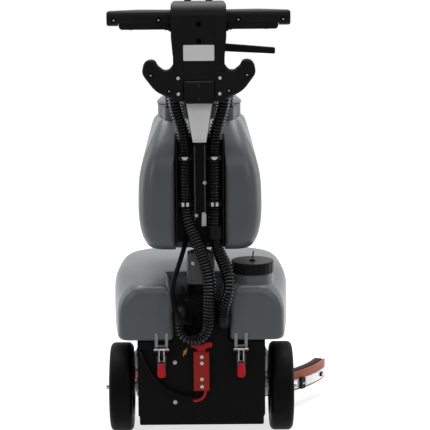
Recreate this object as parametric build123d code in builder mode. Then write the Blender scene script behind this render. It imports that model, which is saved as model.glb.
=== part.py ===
from build123d import *
import math
import os

# Compact battery floor scrubber, in millimetres.
# The origin is on the floor, midway between the wheels and under their axle.
# +X is right as seen by the operator, +Y is forward and +Z is up.

os.makedirs("parts", exist_ok=True)

# Clearances
touch_gap = 0.3
slide_fit = 0.05
side_gap = 0.5
weld_gap = 0.02

# Wheels and stub axles
wheel_d = 212.0
wheel_w = 54.0
track = 380.0
rim_d = 152.0
hub_d = 44.0
hub_over = 2.0
tread_r = 12.0
web_t = 8.0
axle_d = 14.0
axle_flange_d = 48.0
axle_flange_t = 8.0
spacer_d = 26.0
washer_d = 28.0
washer_t = 2.0
axle_stub = 8.0

# Chassis
chassis_w = 296.0
chassis_rear = -110.0
chassis_front = 55.0
chassis_bottom = 45.0
chassis_top = 245.0
sheet = 3.0
step_h = 20.0
step_in = 3.0
tongue_w = 124.0
tongue_top = 344.0
deck_t = 5.0
deck_front = 318.0
deck_corner = 80.0
battery_w = 220.0
battery_d = 120.0
battery_h = 150.0

# Solution tank
tank_h = 135.0
tank_wall = 5.0
tank_rear = -120.0
tank_front = 330.0
tank_rear_w = 382.0
tank_w = 418.0
tank_wide_y = 60.0
tank_shoulder_r = 50.0
channel_w = 130.0
channel_back = -30.0
neck_x = 120.7
neck_y = -60.0
neck_boss_d = 96.0
neck_boss_h = 15.0
neck_d = 84.0
neck_bore = 76.0

# Fill cap
cap_d = 98.0
cap_h = 26.0
cap_top_t = 6.0
cap_thread_gap = 1.5
gasket_t = 2.6
rivet_d = 8.0
rivet_head_d = 14.0
tail_d = 3.0
tail_h = 20.0
tail_lean = 2.5

# Column and its pivot
column_w = 30.0
column_wall = 3.0
column_y = -70.0
column_top = 940.0
sleeve_w = 44.0
sleeve_d = 40.0
sleeve_z0 = 376.0
sleeve_z1 = 452.0
sleeve_r = 10.0
pivot_y = -90.0
pivot_z = 330.0
pin_d = 16.0
knuckle_r = 15.0
foot_w = 47.0
cheek_t = 6.0
bracket_top = 372.0
bolt_head_d = 22.0
bolt_head_h = 6.0
nut_h = 8.0

# Hose channel of the column
trough_w = 108.0
trough_rear = -98.0
trough_z0 = 470.0
trough_z1 = 715.0
trough_sheet = 2.0

# Recovery tank
upper_z0 = 456.0
upper_z1 = 752.0
upper_w = 284.0
upper_rear = -100.0
upper_front = 150.0
upper_rear_r = 42.0
upper_front_r = 62.0
upper_wall = 5.0
recess_w = 114.0
recess_r = 18.0
collar_y = 65.0
collar_a = 98.0
collar_b = 70.0
collar_top = 781.0
collar_wall = 8.0
spigot_x = 66.0
spigot_y = -8.0
spigot_top = 778.0
spigot_r = 17.5
spigot_bore = 12.5

# Lid of the recovery tank
seal_t = 2.0
lid_over = 2.0
lid_h = 34.0
lid_round = 24.0
lid_wall = 3.0
hinge_y = 143.0
hinge_z = 788.0
hinge_pin_d = 7.0
hinge_lug_w = 54.0
ear_t = 8.0
cage_x = 45.0
cage_d = 38.0
cage_bottom = 722.0
cage_wall = 3.0

# Control head
head_w = 123.0
neck_w = 115.0
head_rear = -135.0
head_front = -45.0
head_split = -85.0
head_bottom = 803.0
head_top = 1024.0
head_thin = -106.0
head_wall = 3.5
head_round = 35.0
flare_z = 902.0
cover_w = 70.0
cover_top = 850.0
cover_t = 4.0
cover_proud = 3.0
tongue_low = 705.0
tongue_low_w = 34.0
tongue_face = -104.0
bar_d = 22.0
bar_z = 986.0
bar_half = 197.0
grip_end = 205.0
grip_low = 970.0
grip_high = 1006.0
grip_depth = 38.0
grip_round = 14.0
grip_lug_x = 148.0
grip_lug_t = 8.0
grip_screws = ((189.0, 983.0), (89.0, 983.0))

# Paddles, squeegee lever and push buttons
paddle_x0 = 64.0
paddle_x1 = 178.0
paddle_t = 8.2
paddle_lip = 3.4
paddle_edge_t = 2.5
paddle_edge_top = 975.6
paddle_groove_w = 4.4
paddle_groove_h = 5.0
paddle_depth = 28.5
paddle_axis_y = -72.0
paddle_axis_z = 964.5
paddle_pin_d = 5.0
lever_axis_x = 46.0
lever_axis_y = -75.0
lever_z = 921.0
lever_end = 172.0
lever_root_t = 18.0
lever_tip_t = 14.0
lever_w = 14.0
lever_pin_d = 8.0
lever_swing = 40.0
button_d = 16.0
button_x = 24.0
button_y = -71.0
button_proud = 3.0
button_flange = 3.0
button_travel = 2.0

# Cable hooks of the head
hook_rear = -138.0
hook_front = -110.0
hook_screws = ((107.0, 862.0), (66.5, 827.0))

# Sunk screw holes of the hooks and grips
screw_hole_d = 11.0
screw_hole_depth = 5.0
grip_hole_depth = 3.0

# Toggle latches
latch_x = 91.7
latch_w = 23.0
latch_pivot_y = -131.5
latch_pivot_z = 216.0
latch_pin_d = 5.0
latch_throw = 12.0
latch_over_centre = 1.0
latch_ear_t = 1.5
latch_lever_w = 18.0
latch_lever_t = 1.5
latch_grip_w = 20.0
latch_grip_low = 168.0
latch_grip_high = 202.0
hook_len = 28.0
hook_arm_x = 4.6
hook_arm_t = 2.0
tee_d = 5.0
tee_w = 34.0
keeper_w = 30.0
keeper_gap = 17.0
keeper_top = 268.0
keeper_t = 2.0

# Battery connector
plug_w = 36.5
plug_t = 17.0
socket_z0 = 132.0
plug_z0 = 184.0
plug_z1 = 224.0
tenon_w = 28.0
tenon_h = 13.0
tenon_t = 9.0
handle_w = 50.0
handle_stem_w = 18.0
handle_top = 246.0
handle_t = 9.0

# Brush
brush_y = 337.0
hood_d = 364.0
hood_z0 = 30.0
hood_z1 = 110.0
hood_wall = 4.0
hood_round = 34.0
disc_d = 320.0
disc_z0 = 30.0
disc_t = 14.0
bristle_root_t = 4.0
bristle_rings = 5
bristle_inner_r = 78.0
bristle_outer_r = 152.0
bristle_pitch = 12.0
bristle_r = 3.2
shaft_d = 20.0
shaft_low = 40.0
motor_d = 116.0
motor_flange_d = 140.0
motor_flange_t = 6.0

# Vacuum motor under the tank deck
blower_d = 104.0
blower_h = 62.0
blower_y = 166.0

# Squeegee, swung to the right at rest
swing_y = 702.0
swing_rest = 7.7
squeegee_rear = 101.0
squeegee_r = 284.0
squeegee_half_w = 250.0
squeegee_body_t = 20.0
blade_t = 4.0
blade_z0 = 42.0
blade_h = 48.0
body_z0 = 62.0
body_z1 = 92.0
strap_t = 2.0
strap_z0 = 47.0
strap_h = 23.0
slot_count = 11
slot_l = 22.0
slot_w = 7.0
post_x = 32.0
post_d = 12.0
post_h = 80.0
carriage_half_deg = 4.5
carriage_z0 = 112.0
carriage_z1 = 164.0
carriage_in = 35.0
carriage_out = 15.0
rail_in = 22.0
rail_t = 8.0
rail_foot_t = 16.0
rail_foot_h = 6.0
rail_z0 = 141.0
rail_half_deg = 16.0
hanger_deg = 11.0
hanger_half_deg = 1.0

# Hoses, cable and leads
hose_r = 15.5
hose_valley_r = 13.4
hose_bore_r = 12.0
hose_ribs = 34
hose_x = 33.5
hose_y = -88.0
port_r = 15.0
left_port_x = -46.0
left_port_z = 322.0
right_port_x = 50.5
right_port_z = 288.0
port_bore_r = 10.0
elbow_r = 24.0
clip_t = 2.0
clip_h = 10.0
clip_levels = (672.0, 566.0)
strap_level = 484.0
wide_strap_h = 30.0
harness_d = 11.0
lead_d = 8.0

# Worked-out places
half_track = track / 2
axle_z = wheel_d / 2
tank_z0 = chassis_top + deck_t
tank_z1 = tank_z0 + tank_h
panel_face = chassis_rear
column_rear = column_y - column_w / 2
column_front = column_y + column_w / 2
trough_back = column_front + trough_sheet
cap_z0 = tank_z1 + neck_boss_h + touch_gap
cap_z1 = cap_z0 + cap_h
cap_ceiling = cap_z1 - cap_top_t
neck_h = cap_ceiling - gasket_t - tank_z1
seal_z = collar_top
lid_z0 = collar_top + seal_t
lid_z1 = lid_z0 + lid_h - seal_t
motor_top = chassis_top
post_reach = swing_y - squeegee_rear
squeegee_arm = post_reach - squeegee_r
carriage_r0 = post_reach - carriage_in
carriage_r1 = post_reach + carriage_out
rail_r = post_reach - rail_in


def save(part, name):
    part.label = name
    export_step(part, f"parts/{name}.step")


def plan(z):
    return Plane.XY.offset(z)


def rear_view(y):
    # Sketch plane facing the operator at depth y: its extrusions run towards the operator.
    return Plane.XZ.offset(-y)


def side_view(x):
    # Sketch plane with forward to the right: its extrusions run to +X.
    return Plane.YZ.offset(x)


def outline(*corners):
    # Closed outline through corners given as (x, y, corner radius).
    with BuildLine() as path:
        FilletPolyline(*[c[:2] for c in corners], radius=[c[2] for c in corners], close=True)
    return path.edges()


def symmetric(*right):
    # Closed outline from its right-hand corners and their mirror images.
    left = [(-x, y, r) for x, y, r in reversed(right)]
    return outline(*right, *left)


def corner_radii(route):
    # Each bend of a cord is as large as its two runs allow.
    radii = []
    for before, here, after in zip(route, route[1:], route[2:]):
        run_in = Vector(here) - Vector(before)
        run_out = Vector(after) - Vector(here)
        turn = math.radians(run_in.get_angle(run_out))
        radii.append(0.45 * min(run_in.length, run_out.length) / math.tan(turn / 2))
    return radii


# Wheels: rubber tyre on a moulded rim with a web and a hub
def tyre(side):
    with BuildPart() as ring:
        with BuildSketch(Plane.XZ):
            with Locations((side * half_track, axle_z + (wheel_d + rim_d) / 4)):
                Rectangle(wheel_w, (wheel_d - rim_d) / 2)
            fillet(vertices().group_by(Axis.Y)[-1], tread_r)
        revolve(axis=Axis((0, 0, axle_z), (1, 0, 0)))
    return ring.part


def rim(side):
    hub_w = wheel_w + 2 * hub_over
    with BuildPart() as wheel:
        with BuildSketch(side_view(side * half_track)):
            with Locations((0, axle_z)):
                Circle(rim_d / 2)
                Circle(rim_d / 2 - web_t, mode=Mode.SUBTRACT)
        extrude(amount=wheel_w / 2, both=True)
        with BuildSketch(side_view(side * half_track)):
            with Locations((0, axle_z)):
                Circle(rim_d / 2 - web_t / 2)
                with PolarLocations((rim_d - 2 * web_t + hub_d) / 4, 6):
                    Circle((rim_d - 2 * web_t - hub_d) / 5, mode=Mode.SUBTRACT)
        extrude(amount=web_t / 2, both=True)
        with BuildSketch(side_view(side * half_track)):
            with Locations((0, axle_z)):
                Circle(hub_d / 2)
        extrude(amount=hub_w / 2, both=True)
        with BuildSketch(side_view(side * half_track)):
            with Locations((0, axle_z)):
                Circle(axle_d / 2 + slide_fit)
        extrude(amount=hub_w / 2, both=True, mode=Mode.SUBTRACT)
    return wheel.part


for side, name in ((-1, "left"), (1, "right")):
    save(tyre(side), f"{name}_tyre")
    save(rim(side), f"{name}_rim")

# Stub axles bolted to the chassis sides, each with a washer outside the hub
hub_inner = half_track - wheel_w / 2 - hub_over
hub_outer = half_track + wheel_w / 2 + hub_over
washer_x = hub_outer + touch_gap
with BuildPart() as stub_axles:
    with BuildSketch(side_view(chassis_w / 2)):
        with Locations((0, axle_z)):
            Circle(axle_flange_d / 2)
    extrude(amount=axle_flange_t)
    with BuildSketch(side_view(chassis_w / 2)):
        with Locations((0, axle_z)):
            Circle(spacer_d / 2)
    extrude(amount=hub_inner - touch_gap - chassis_w / 2)
    with BuildSketch(side_view(chassis_w / 2)):
        with Locations((0, axle_z)):
            Circle(axle_d / 2)
    extrude(amount=washer_x + washer_t + axle_stub - chassis_w / 2)
    chamfer(edges().filter_by(GeomType.CIRCLE).sort_by(Axis.X)[-1], 1)
    with BuildSketch(side_view(washer_x)):
        with Locations((0, axle_z)):
            Circle(washer_d / 2)
    extrude(amount=washer_t)
    mirror(about=Plane.YZ)
save(stub_axles.part, "stub_axles")

# Chassis: folded tray, rear panel with a tongue between the tank's lobes, and the tank deck
tray_half = chassis_w / 2
tray_rear = chassis_rear + sheet
with BuildPart() as chassis_tray:
    with BuildSketch(rear_view(chassis_front)) as tray_outer:
        make_face(symmetric(
            (tray_half - step_in, chassis_bottom, 4),
            (tray_half - step_in, chassis_bottom + step_h, 0),
            (tray_half, chassis_bottom + step_h + step_in, 0),
            (tray_half, chassis_top, 0),
        ))
    extrude(amount=chassis_front - tray_rear)
    with BuildSketch(rear_view(chassis_front - sheet)):
        with Locations((0, (chassis_bottom + sheet + chassis_top) / 2)):
            Rectangle(chassis_w - 2 * (sheet + step_in), chassis_top - chassis_bottom - sheet)
    extrude(amount=chassis_front - sheet - tray_rear, mode=Mode.SUBTRACT)
save(chassis_tray.part, "chassis_tray")

with BuildPart() as rear_panel:
    with BuildSketch(rear_view(tray_rear)):
        make_face(symmetric(
            (tray_half - step_in, chassis_bottom, 4),
            (tray_half - step_in, chassis_bottom + step_h, 0),
            (tray_half, chassis_bottom + step_h + step_in, 0),
            (tray_half, chassis_top, 0),
            (tongue_w / 2, chassis_top, 3),
            (tongue_w / 2, tongue_top, 10),
        ))
        with Locations((left_port_x, left_port_z), (right_port_x, right_port_z)):
            Circle(port_bore_r, mode=Mode.SUBTRACT)
    extrude(amount=sheet)
save(rear_panel.part, "rear_panel")

with BuildPart() as tank_deck:
    with BuildSketch(plan(chassis_top)):
        make_face(symmetric(
            (tray_half, tray_rear, 0),
            (tray_half, deck_front, deck_corner),
        ))
    extrude(amount=deck_t)
save(tank_deck.part, "tank_deck")

with BuildPart() as battery_pack:
    with BuildSketch(plan(chassis_bottom + sheet)):
        with Locations((0, (tray_rear + chassis_front) / 2)):
            RectangleRounded(battery_w, battery_d, 6)
    extrude(amount=battery_h)
    with BuildSketch(plan(chassis_bottom + sheet + battery_h)):
        with Locations((0, (tray_rear + chassis_front) / 2)):
            with GridLocations(battery_w * 0.7, battery_d * 0.6, 2, 1):
                Circle(9)
    extrude(amount=14)
save(battery_pack.part, "battery_pack")

# Column bracket on the deck: two cheeks, a foot plate and a stop wall in front of the column
cheek_in = foot_w / 2 + side_gap
cheek_out = cheek_in + cheek_t
stop_wall = column_front + touch_gap
with BuildPart() as column_bracket:
    for x in (cheek_in, -cheek_out):
        with BuildSketch(side_view(x)):
            make_face(outline(
                (pivot_y - knuckle_r - 1, tank_z0, 0),
                (stop_wall + cheek_t, tank_z0, 0),
                (stop_wall + cheek_t, bracket_top, 8),
                (column_y, bracket_top, 14),
                (pivot_y - knuckle_r - 1, pivot_z + knuckle_r, 12),
            ))
            with Locations((pivot_y, pivot_z)):
                Circle(pin_d / 2, mode=Mode.SUBTRACT)
        extrude(amount=cheek_t)
    with BuildSketch(plan(tank_z0)):
        with Locations((0, (pivot_y - knuckle_r - 1 + stop_wall + cheek_t) / 2)):
            Rectangle(channel_w * 0.75, stop_wall + cheek_t - pivot_y + knuckle_r + 1)
    extrude(amount=deck_t)
    with BuildSketch(rear_view(stop_wall + cheek_t)):
        with Locations((0, (tank_z0 + bracket_top) / 2)):
            Rectangle(2 * cheek_in, bracket_top - tank_z0)
    extrude(amount=cheek_t)
save(column_bracket.part, "column_bracket")

with BuildPart() as pivot_pin:
    with BuildSketch(side_view(-cheek_out - bolt_head_h)):
        with Locations((pivot_y, pivot_z)):
            Circle(bolt_head_d / 2)
    extrude(amount=bolt_head_h)
    chamfer(edges().filter_by(GeomType.CIRCLE).sort_by(Axis.X)[0], 1.5)
    with BuildSketch(side_view(-cheek_out)):
        with Locations((pivot_y, pivot_z)):
            Circle(pin_d / 2)
    extrude(amount=2 * cheek_out + nut_h + 2)
    with BuildSketch(side_view(cheek_out)):
        with Locations((pivot_y, pivot_z)):
            RegularPolygon(bolt_head_d / 2, 6)
    extrude(amount=nut_h)
save(pivot_pin.part, "pivot_pin")


# Solution tank: blow-moulded body, rounded level by level, with two rear lobes round the column's channel
tank_levels = (
    (0.0, 14, 9), (0.02, 7, 4.5), (0.07, 2, 1.2), (0.17, 0, 0), (0.45, 0, 0), (0.62, 2, 0.6),
    (0.75, 6, 3), (0.86, 13, 7.5), (0.945, 24, 14), (1.0, 42, 27),
)


def solution_body(inset):
    # Each level: its share of the height, then how far it draws in at the sides and at the rear.
    with BuildPart() as body:
        for share, side_in, rear_in in tank_levels:
            draw = side_in + inset
            with BuildSketch(plan(tank_z0 + inset + share * (tank_h - 2 * inset))):
                make_face(symmetric(
                    (tank_rear_w / 2 - draw, tank_rear + rear_in + inset, max(34 - draw, 10)),
                    (tank_w / 2 - draw, tank_wide_y, 150 - draw),
                    (tank_w / 2 - 24 - draw, tank_front - 85 - draw / 2, 70 - draw / 2),
                    (tank_w / 2 - 100 - draw / 2, tank_front - draw, 80 - draw / 2),
                ))
        loft()
        with BuildSketch(plan(tank_z0)):
            make_face(symmetric(
                (channel_w / 2 + inset, channel_back + inset, 12),
                (channel_w / 2 + inset, tank_rear + inset, 20),
                (tank_w, tank_rear + inset, 0),
                (tank_w, tank_rear - 50, 0),
            ))
        extrude(amount=tank_h, mode=Mode.SUBTRACT)
    return body.part


tank_outside = solution_body(0)
tank_inside = solution_body(tank_wall)
with BuildPart() as solution_tank:
    add(tank_outside)
    with BuildSketch(plan(tank_z1 - 3 * tank_wall)):
        with Locations((neck_x, neck_y)):
            Circle(neck_boss_d / 2)
    extrude(amount=3 * tank_wall + neck_boss_h)
    with BuildSketch(plan(tank_z1)):
        with Locations((neck_x, neck_y)):
            Circle(neck_d / 2)
    extrude(amount=neck_h)
    add(tank_inside, mode=Mode.SUBTRACT)
    with BuildSketch(plan(tank_z1 - 2 * tank_wall)):
        with Locations((neck_x, neck_y)):
            Circle(neck_bore / 2)
    extrude(amount=2 * tank_wall + neck_h, mode=Mode.SUBTRACT)
save(solution_tank.part, "solution_tank")

# Fill cap: screw cap with finger grooves, its gasket, and a centre rivet with a thin tail
with BuildPart() as fill_cap:
    with BuildSketch(plan(cap_z0)):
        with Locations((neck_x, neck_y)):
            Circle(cap_d / 2)
            with PolarLocations(cap_d / 2 + 1, 24):
                Circle(2.4, mode=Mode.SUBTRACT)
    extrude(amount=cap_h)
    chamfer(faces().sort_by(Axis.Z)[-1].edges(), 1.2)
    with BuildSketch(plan(cap_z0)):
        with Locations((neck_x, neck_y)):
            Circle(neck_d / 2 + cap_thread_gap)
    extrude(amount=cap_ceiling - cap_z0, mode=Mode.SUBTRACT)
    with BuildSketch(plan(cap_z0)):
        with Locations((neck_x, neck_y)):
            Circle(rivet_d / 2 + slide_fit)
    extrude(amount=cap_h, mode=Mode.SUBTRACT)
save(fill_cap.part, "fill_cap")

with BuildPart() as cap_gasket:
    with BuildSketch(plan(cap_ceiling - gasket_t)):
        with Locations((neck_x, neck_y)):
            Circle(neck_d / 2)
            Circle(neck_bore / 2, mode=Mode.SUBTRACT)
    extrude(amount=gasket_t)
save(cap_gasket.part, "cap_gasket")

with BuildPart() as cap_rivet:
    with BuildSketch(plan(cap_ceiling - 4)):
        with Locations((neck_x, neck_y)):
            Circle(rivet_head_d / 2)
    extrude(amount=4 - touch_gap)
    with BuildSketch(plan(cap_ceiling - 4)):
        with Locations((neck_x, neck_y)):
            Circle(rivet_d / 2)
    extrude(amount=4 + cap_top_t + touch_gap + 2)
    with BuildSketch(plan(cap_z1 + touch_gap)):
        with Locations((neck_x, neck_y)):
            Circle(rivet_head_d / 2)
    extrude(amount=2.5)
    tail_foot = Vector(neck_x, neck_y, cap_z1 + touch_gap + 2)
    with BuildSketch(Plane(tail_foot, z_dir=(tail_lean, 0, tail_h))):
        Circle(tail_d / 2)
    extrude(amount=tail_h)
save(cap_rivet.part, "cap_rivet")

# Brush hood, motor with its shaft, brush disc and bristles
with BuildPart() as brush_deck:
    with BuildSketch(plan(hood_z0)):
        with Locations((0, brush_y)):
            Circle(hood_d / 2)
    extrude(amount=hood_z1 - hood_z0)
    fillet(faces().sort_by(Axis.Z)[-1].edges(), hood_round)
    hood_inner = hood_d / 2 - hood_wall
    with BuildSketch(plan(hood_z0)):
        with Locations((0, brush_y)):
            Circle(hood_inner)
    extrude(amount=hood_z1 - hood_z0 - hood_round - hood_wall, mode=Mode.SUBTRACT)
    with BuildSketch(plan(hood_z0)):
        with Locations((0, brush_y)):
            Circle(hood_inner - hood_round)
    extrude(amount=hood_z1 - hood_z0 - hood_wall, mode=Mode.SUBTRACT)
    with BuildSketch(plan(hood_z0)):
        with Locations((0, brush_y)):
            Circle(motor_d / 3)
    extrude(amount=hood_z1 - hood_z0, mode=Mode.SUBTRACT)
save(brush_deck.part, "brush_deck")

with BuildPart() as brush_motor:
    with BuildSketch(plan(hood_z1)):
        with Locations((0, brush_y)):
            Circle(motor_d / 2)
    extrude(amount=motor_top - hood_z1)
    with BuildSketch(plan(motor_top - motor_flange_t)):
        with Locations((0, brush_y)):
            Circle(motor_flange_d / 2)
    extrude(amount=motor_flange_t)
    with BuildSketch(plan(shaft_low)):
        with Locations((0, brush_y)):
            Circle(shaft_d / 2)
    extrude(amount=hood_z1 - shaft_low)
save(brush_motor.part, "brush_motor")

with BuildPart() as brush_disc:
    with BuildSketch(plan(disc_z0)):
        with Locations((0, brush_y)):
            Circle(disc_d / 2)
    extrude(amount=disc_t)
    chamfer(faces().sort_by(Axis.Z)[-1].edges(), 3)
    with BuildSketch(plan(disc_z0)):
        with Locations((0, brush_y)):
            Circle(shaft_d * 1.4)
    extrude(amount=disc_t + 16)
    with BuildSketch(plan(disc_z0)):
        with Locations((0, brush_y)):
            Circle(shaft_d / 2 + slide_fit)
    extrude(amount=disc_t + 16, mode=Mode.SUBTRACT)
save(brush_disc.part, "brush_disc")

with BuildPart() as brush_bristles:
    with BuildSketch(plan(disc_z0 - bristle_root_t)):
        with Locations((0, brush_y)):
            Circle(bristle_outer_r + 6)
            Circle(bristle_inner_r - 6, mode=Mode.SUBTRACT)
    extrude(amount=bristle_root_t)
    with BuildSketch(plan(0)) as strands:
        ring_step = (bristle_outer_r - bristle_inner_r) / (bristle_rings - 1)
        for ring in range(bristle_rings):
            radius = bristle_inner_r + ring * ring_step
            count = int(2 * math.pi * radius / bristle_pitch)
            with Locations((0, brush_y)):
                with PolarLocations(radius, count, start_angle=ring * 7):
                    RegularPolygon(bristle_r, 3)
    extrude(amount=disc_z0 - bristle_root_t)
    strand_count = len(strands.faces())
save(brush_bristles.part, "brush_bristles")
print("bristle strands", strand_count)

with BuildPart() as vacuum_motor:
    with BuildSketch(plan(chassis_top - blower_h)):
        with Locations((0, blower_y)):
            Circle(blower_d / 2)
    extrude(amount=blower_h)
    fillet(faces().sort_by(Axis.Z)[0].edges(), 8)
save(vacuum_motor.part, "vacuum_motor")

# Squeegee: rail on the deck, carriage that swings along it, frame with lift posts, blades and strap
swing_centre = Vector(0, swing_y, 0)


def swing_plane(z, degrees):
    # Plan view with its origin on the swing axis, turned with the squeegee.
    turn = math.radians(degrees)
    return Plane(swing_centre + Vector(0, 0, z), x_dir=(math.cos(turn), math.sin(turn), 0), z_dir=(0, 0, 1))


def arc_band(centre_y, inner, outer, half_deg, middle_deg=-90.0):
    # Ring sector about (0, centre_y), in the sketch that is open.
    with BuildLine() as path:
        first = CenterArc((0, centre_y), outer, middle_deg - half_deg, 2 * half_deg)
        second = CenterArc((0, centre_y), inner, middle_deg - half_deg, 2 * half_deg)
        Line(first @ 0, second @ 0)
        Line(first @ 1, second @ 1)
    return path.edges()


rail_z1 = rail_z0 + 22
with BuildPart() as guide_rail:
    with BuildSketch(swing_plane(rail_z0, 0)):
        make_face(arc_band(0, rail_r - rail_t / 2, rail_r + rail_t / 2, rail_half_deg))
    extrude(amount=rail_z1 - rail_z0)
    with BuildSketch(swing_plane(rail_z0, 0)):
        make_face(arc_band(0, rail_r - rail_foot_t / 2, rail_r + rail_foot_t / 2, rail_half_deg))
    extrude(amount=rail_foot_h)
    for place in (-90 - hanger_deg, -90 + hanger_deg):
        with BuildSketch(swing_plane(rail_z1, 0)):
            make_face(arc_band(0, rail_r - rail_t / 2, rail_r + rail_t / 2, hanger_half_deg, place))
        extrude(amount=chassis_top - rail_z1)
save(guide_rail.part, "guide_rail")

post_y = -math.sqrt((squeegee_arm + squeegee_r) ** 2 - post_x ** 2)
with BuildPart() as squeegee_carriage:
    with BuildSketch(swing_plane(carriage_z0, swing_rest)):
        make_face(arc_band(0, carriage_r0, carriage_r1, carriage_half_deg))
    extrude(amount=carriage_z1 - carriage_z0)
    with BuildSketch(swing_plane(rail_z0 - touch_gap, swing_rest)):
        slot_foot = rail_foot_t / 2 + touch_gap
        make_face(arc_band(0, rail_r - slot_foot, rail_r + slot_foot, carriage_half_deg + 1))
    extrude(amount=rail_foot_h + 2 * touch_gap, mode=Mode.SUBTRACT)
    with BuildSketch(swing_plane(rail_z0, swing_rest)):
        slot_neck = rail_t / 2 + touch_gap
        make_face(arc_band(0, rail_r - slot_neck, rail_r + slot_neck, carriage_half_deg + 1))
    extrude(amount=carriage_z1 - rail_z0, mode=Mode.SUBTRACT)
    with BuildSketch(swing_plane(carriage_z0, swing_rest)):
        with Locations((post_x, post_y), (-post_x, post_y)):
            Circle(post_d / 2 + slide_fit)
    extrude(amount=carriage_z1 - carriage_z0, mode=Mode.SUBTRACT)
save(squeegee_carriage.part, "squeegee_carriage")

squeegee_half_deg = math.degrees(math.asin(squeegee_half_w / squeegee_r))
body_r0 = squeegee_r - squeegee_body_t / 2
body_r1 = squeegee_r + squeegee_body_t / 2
with BuildPart() as squeegee_frame:
    with BuildSketch(swing_plane(body_z0, swing_rest)):
        make_face(arc_band(-squeegee_arm, body_r0, body_r1, squeegee_half_deg - 1))
    extrude(amount=body_z1 - body_z0)
    chamfer(faces().sort_by(Axis.Z)[-1].edges(), 3)
    with BuildSketch(swing_plane(body_z1 - 5, swing_rest)):
        with Locations((post_x, post_y), (-post_x, post_y)):
            Circle(post_d / 2)
    extrude(amount=post_h + 5)
save(squeegee_frame.part, "squeegee_frame")

with BuildPart() as squeegee_blades:
    for inner in (body_r0 - blade_t, body_r1):
        with BuildSketch(swing_plane(blade_z0, swing_rest)):
            make_face(arc_band(-squeegee_arm, inner, inner + blade_t, squeegee_half_deg))
        extrude(amount=blade_h)
save(squeegee_blades.part, "squeegee_blades")

strap_r = body_r1 + blade_t
strap_half_deg = squeegee_half_deg - 1.5
with BuildPart() as blade_strap:
    with BuildSketch(swing_plane(strap_z0, swing_rest)):
        make_face(arc_band(-squeegee_arm, strap_r, strap_r + strap_t, strap_half_deg))
    extrude(amount=strap_h)
    slot_step = 2 * (strap_half_deg - 5) / (slot_count - 1)
    for slot in range(slot_count):
        bearing = math.radians(swing_rest - 90 - strap_half_deg + 5 + slot * slot_step)
        arc_centre = swing_centre + Vector(
            squeegee_arm * math.sin(math.radians(swing_rest)),
            -squeegee_arm * math.cos(math.radians(swing_rest)),
            strap_z0 + strap_h / 2,
        )
        outward = Vector(math.cos(bearing), math.sin(bearing), 0)
        across = Vector(-outward.Y, outward.X, 0)
        with BuildSketch(Plane(arc_centre + outward * strap_r, x_dir=across, z_dir=outward)):
            SlotOverall(slot_l, slot_w)
        extrude(amount=2 * strap_t, both=True, mode=Mode.SUBTRACT)
save(blade_strap.part, "blade_strap")


# Toggle latches: base with ears and a J-shaped keeper on the tank, lever with a grip, hook with a T-bar
tee_y = latch_pivot_y + latch_over_centre
tee_z = latch_pivot_z - latch_throw + hook_len
hook_z = latch_pivot_z - latch_throw
ear_x = latch_w / 2 - latch_ear_t
lever_half = latch_lever_w / 2


def latch_fitting(centre):
    with BuildPart() as base:
        with BuildSketch(rear_view(panel_face)):
            with Locations((centre, latch_pivot_z)):
                RectangleRounded(latch_w, 44, 3)
        extrude(amount=2)
        for x in (centre - latch_w / 2, centre + ear_x):
            with BuildSketch(side_view(x)):
                make_face(outline(
                    (panel_face, latch_pivot_z - 14, 0),
                    (panel_face, latch_pivot_z + 12, 0),
                    (latch_pivot_y - 5, latch_pivot_z + 6, 5),
                    (latch_pivot_y - 5, latch_pivot_z - 6, 5),
                ))
            extrude(amount=latch_ear_t)
        for x in (centre - latch_w / 2, centre + lever_half - latch_lever_t):
            with BuildSketch(side_view(x)):
                with Locations((latch_pivot_y, latch_pivot_z)):
                    Circle(latch_pin_d / 2)
            extrude(amount=latch_w / 2 - lever_half + latch_lever_t)
    return base.part


def latch_keeper(centre):
    prong = (keeper_w - keeper_gap) / 2
    with BuildPart() as keeper:
        with BuildSketch(side_view(centre - keeper_w / 2)):
            make_face(outline(
                (tank_rear, keeper_top, 0),
                (tank_rear - keeper_t, keeper_top, 0),
                (tank_rear - keeper_t, tee_z - tee_d / 2 - touch_gap, 0),
                (tee_y - tee_d / 2 - 3, tee_z - tee_d / 2 - touch_gap, 0),
                (tee_y - tee_d / 2 - 3, tee_z - 1, 0),
                (tee_y - tee_d / 2 - 3 - keeper_t, tee_z - 1, 0),
                (tee_y - tee_d / 2 - 3 - keeper_t, tee_z - tee_d / 2 - touch_gap - keeper_t, 2),
                (tank_rear, tee_z - tee_d / 2 - touch_gap - keeper_t, 0),
            ))
        extrude(amount=prong)
        mirror(about=Plane.YZ.offset(centre))
    return keeper.part


def latch_lever(centre):
    with BuildPart() as lever:
        for x in (centre - lever_half, centre + lever_half - latch_lever_t):
            with BuildSketch(side_view(x)):
                make_face(outline(
                    (latch_pivot_y + 4.5, latch_pivot_z + 5, 4),
                    (latch_pivot_y - 5, latch_pivot_z + 5, 4),
                    (latch_pivot_y - 5, latch_grip_low + 4, 0),
                    (latch_pivot_y - 2, latch_grip_low + 4, 0),
                    (latch_pivot_y + 4.5, hook_z - 8, 4),
                ))
                with Locations((latch_pivot_y, latch_pivot_z)):
                    Circle(latch_pin_d / 2 + slide_fit, mode=Mode.SUBTRACT)
            extrude(amount=latch_lever_t)
        with BuildSketch(rear_view(latch_pivot_y - 3.5)):
            with Locations((centre, (latch_grip_low + 4 + hook_z - 3) / 2)):
                Rectangle(latch_lever_w, hook_z - 3 - latch_grip_low - 4)
        extrude(amount=1.5)
        with BuildSketch(side_view(centre - lever_half)):
            with Locations((tee_y, hook_z)):
                Circle(2)
        extrude(amount=latch_lever_w)
    return lever.part


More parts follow.
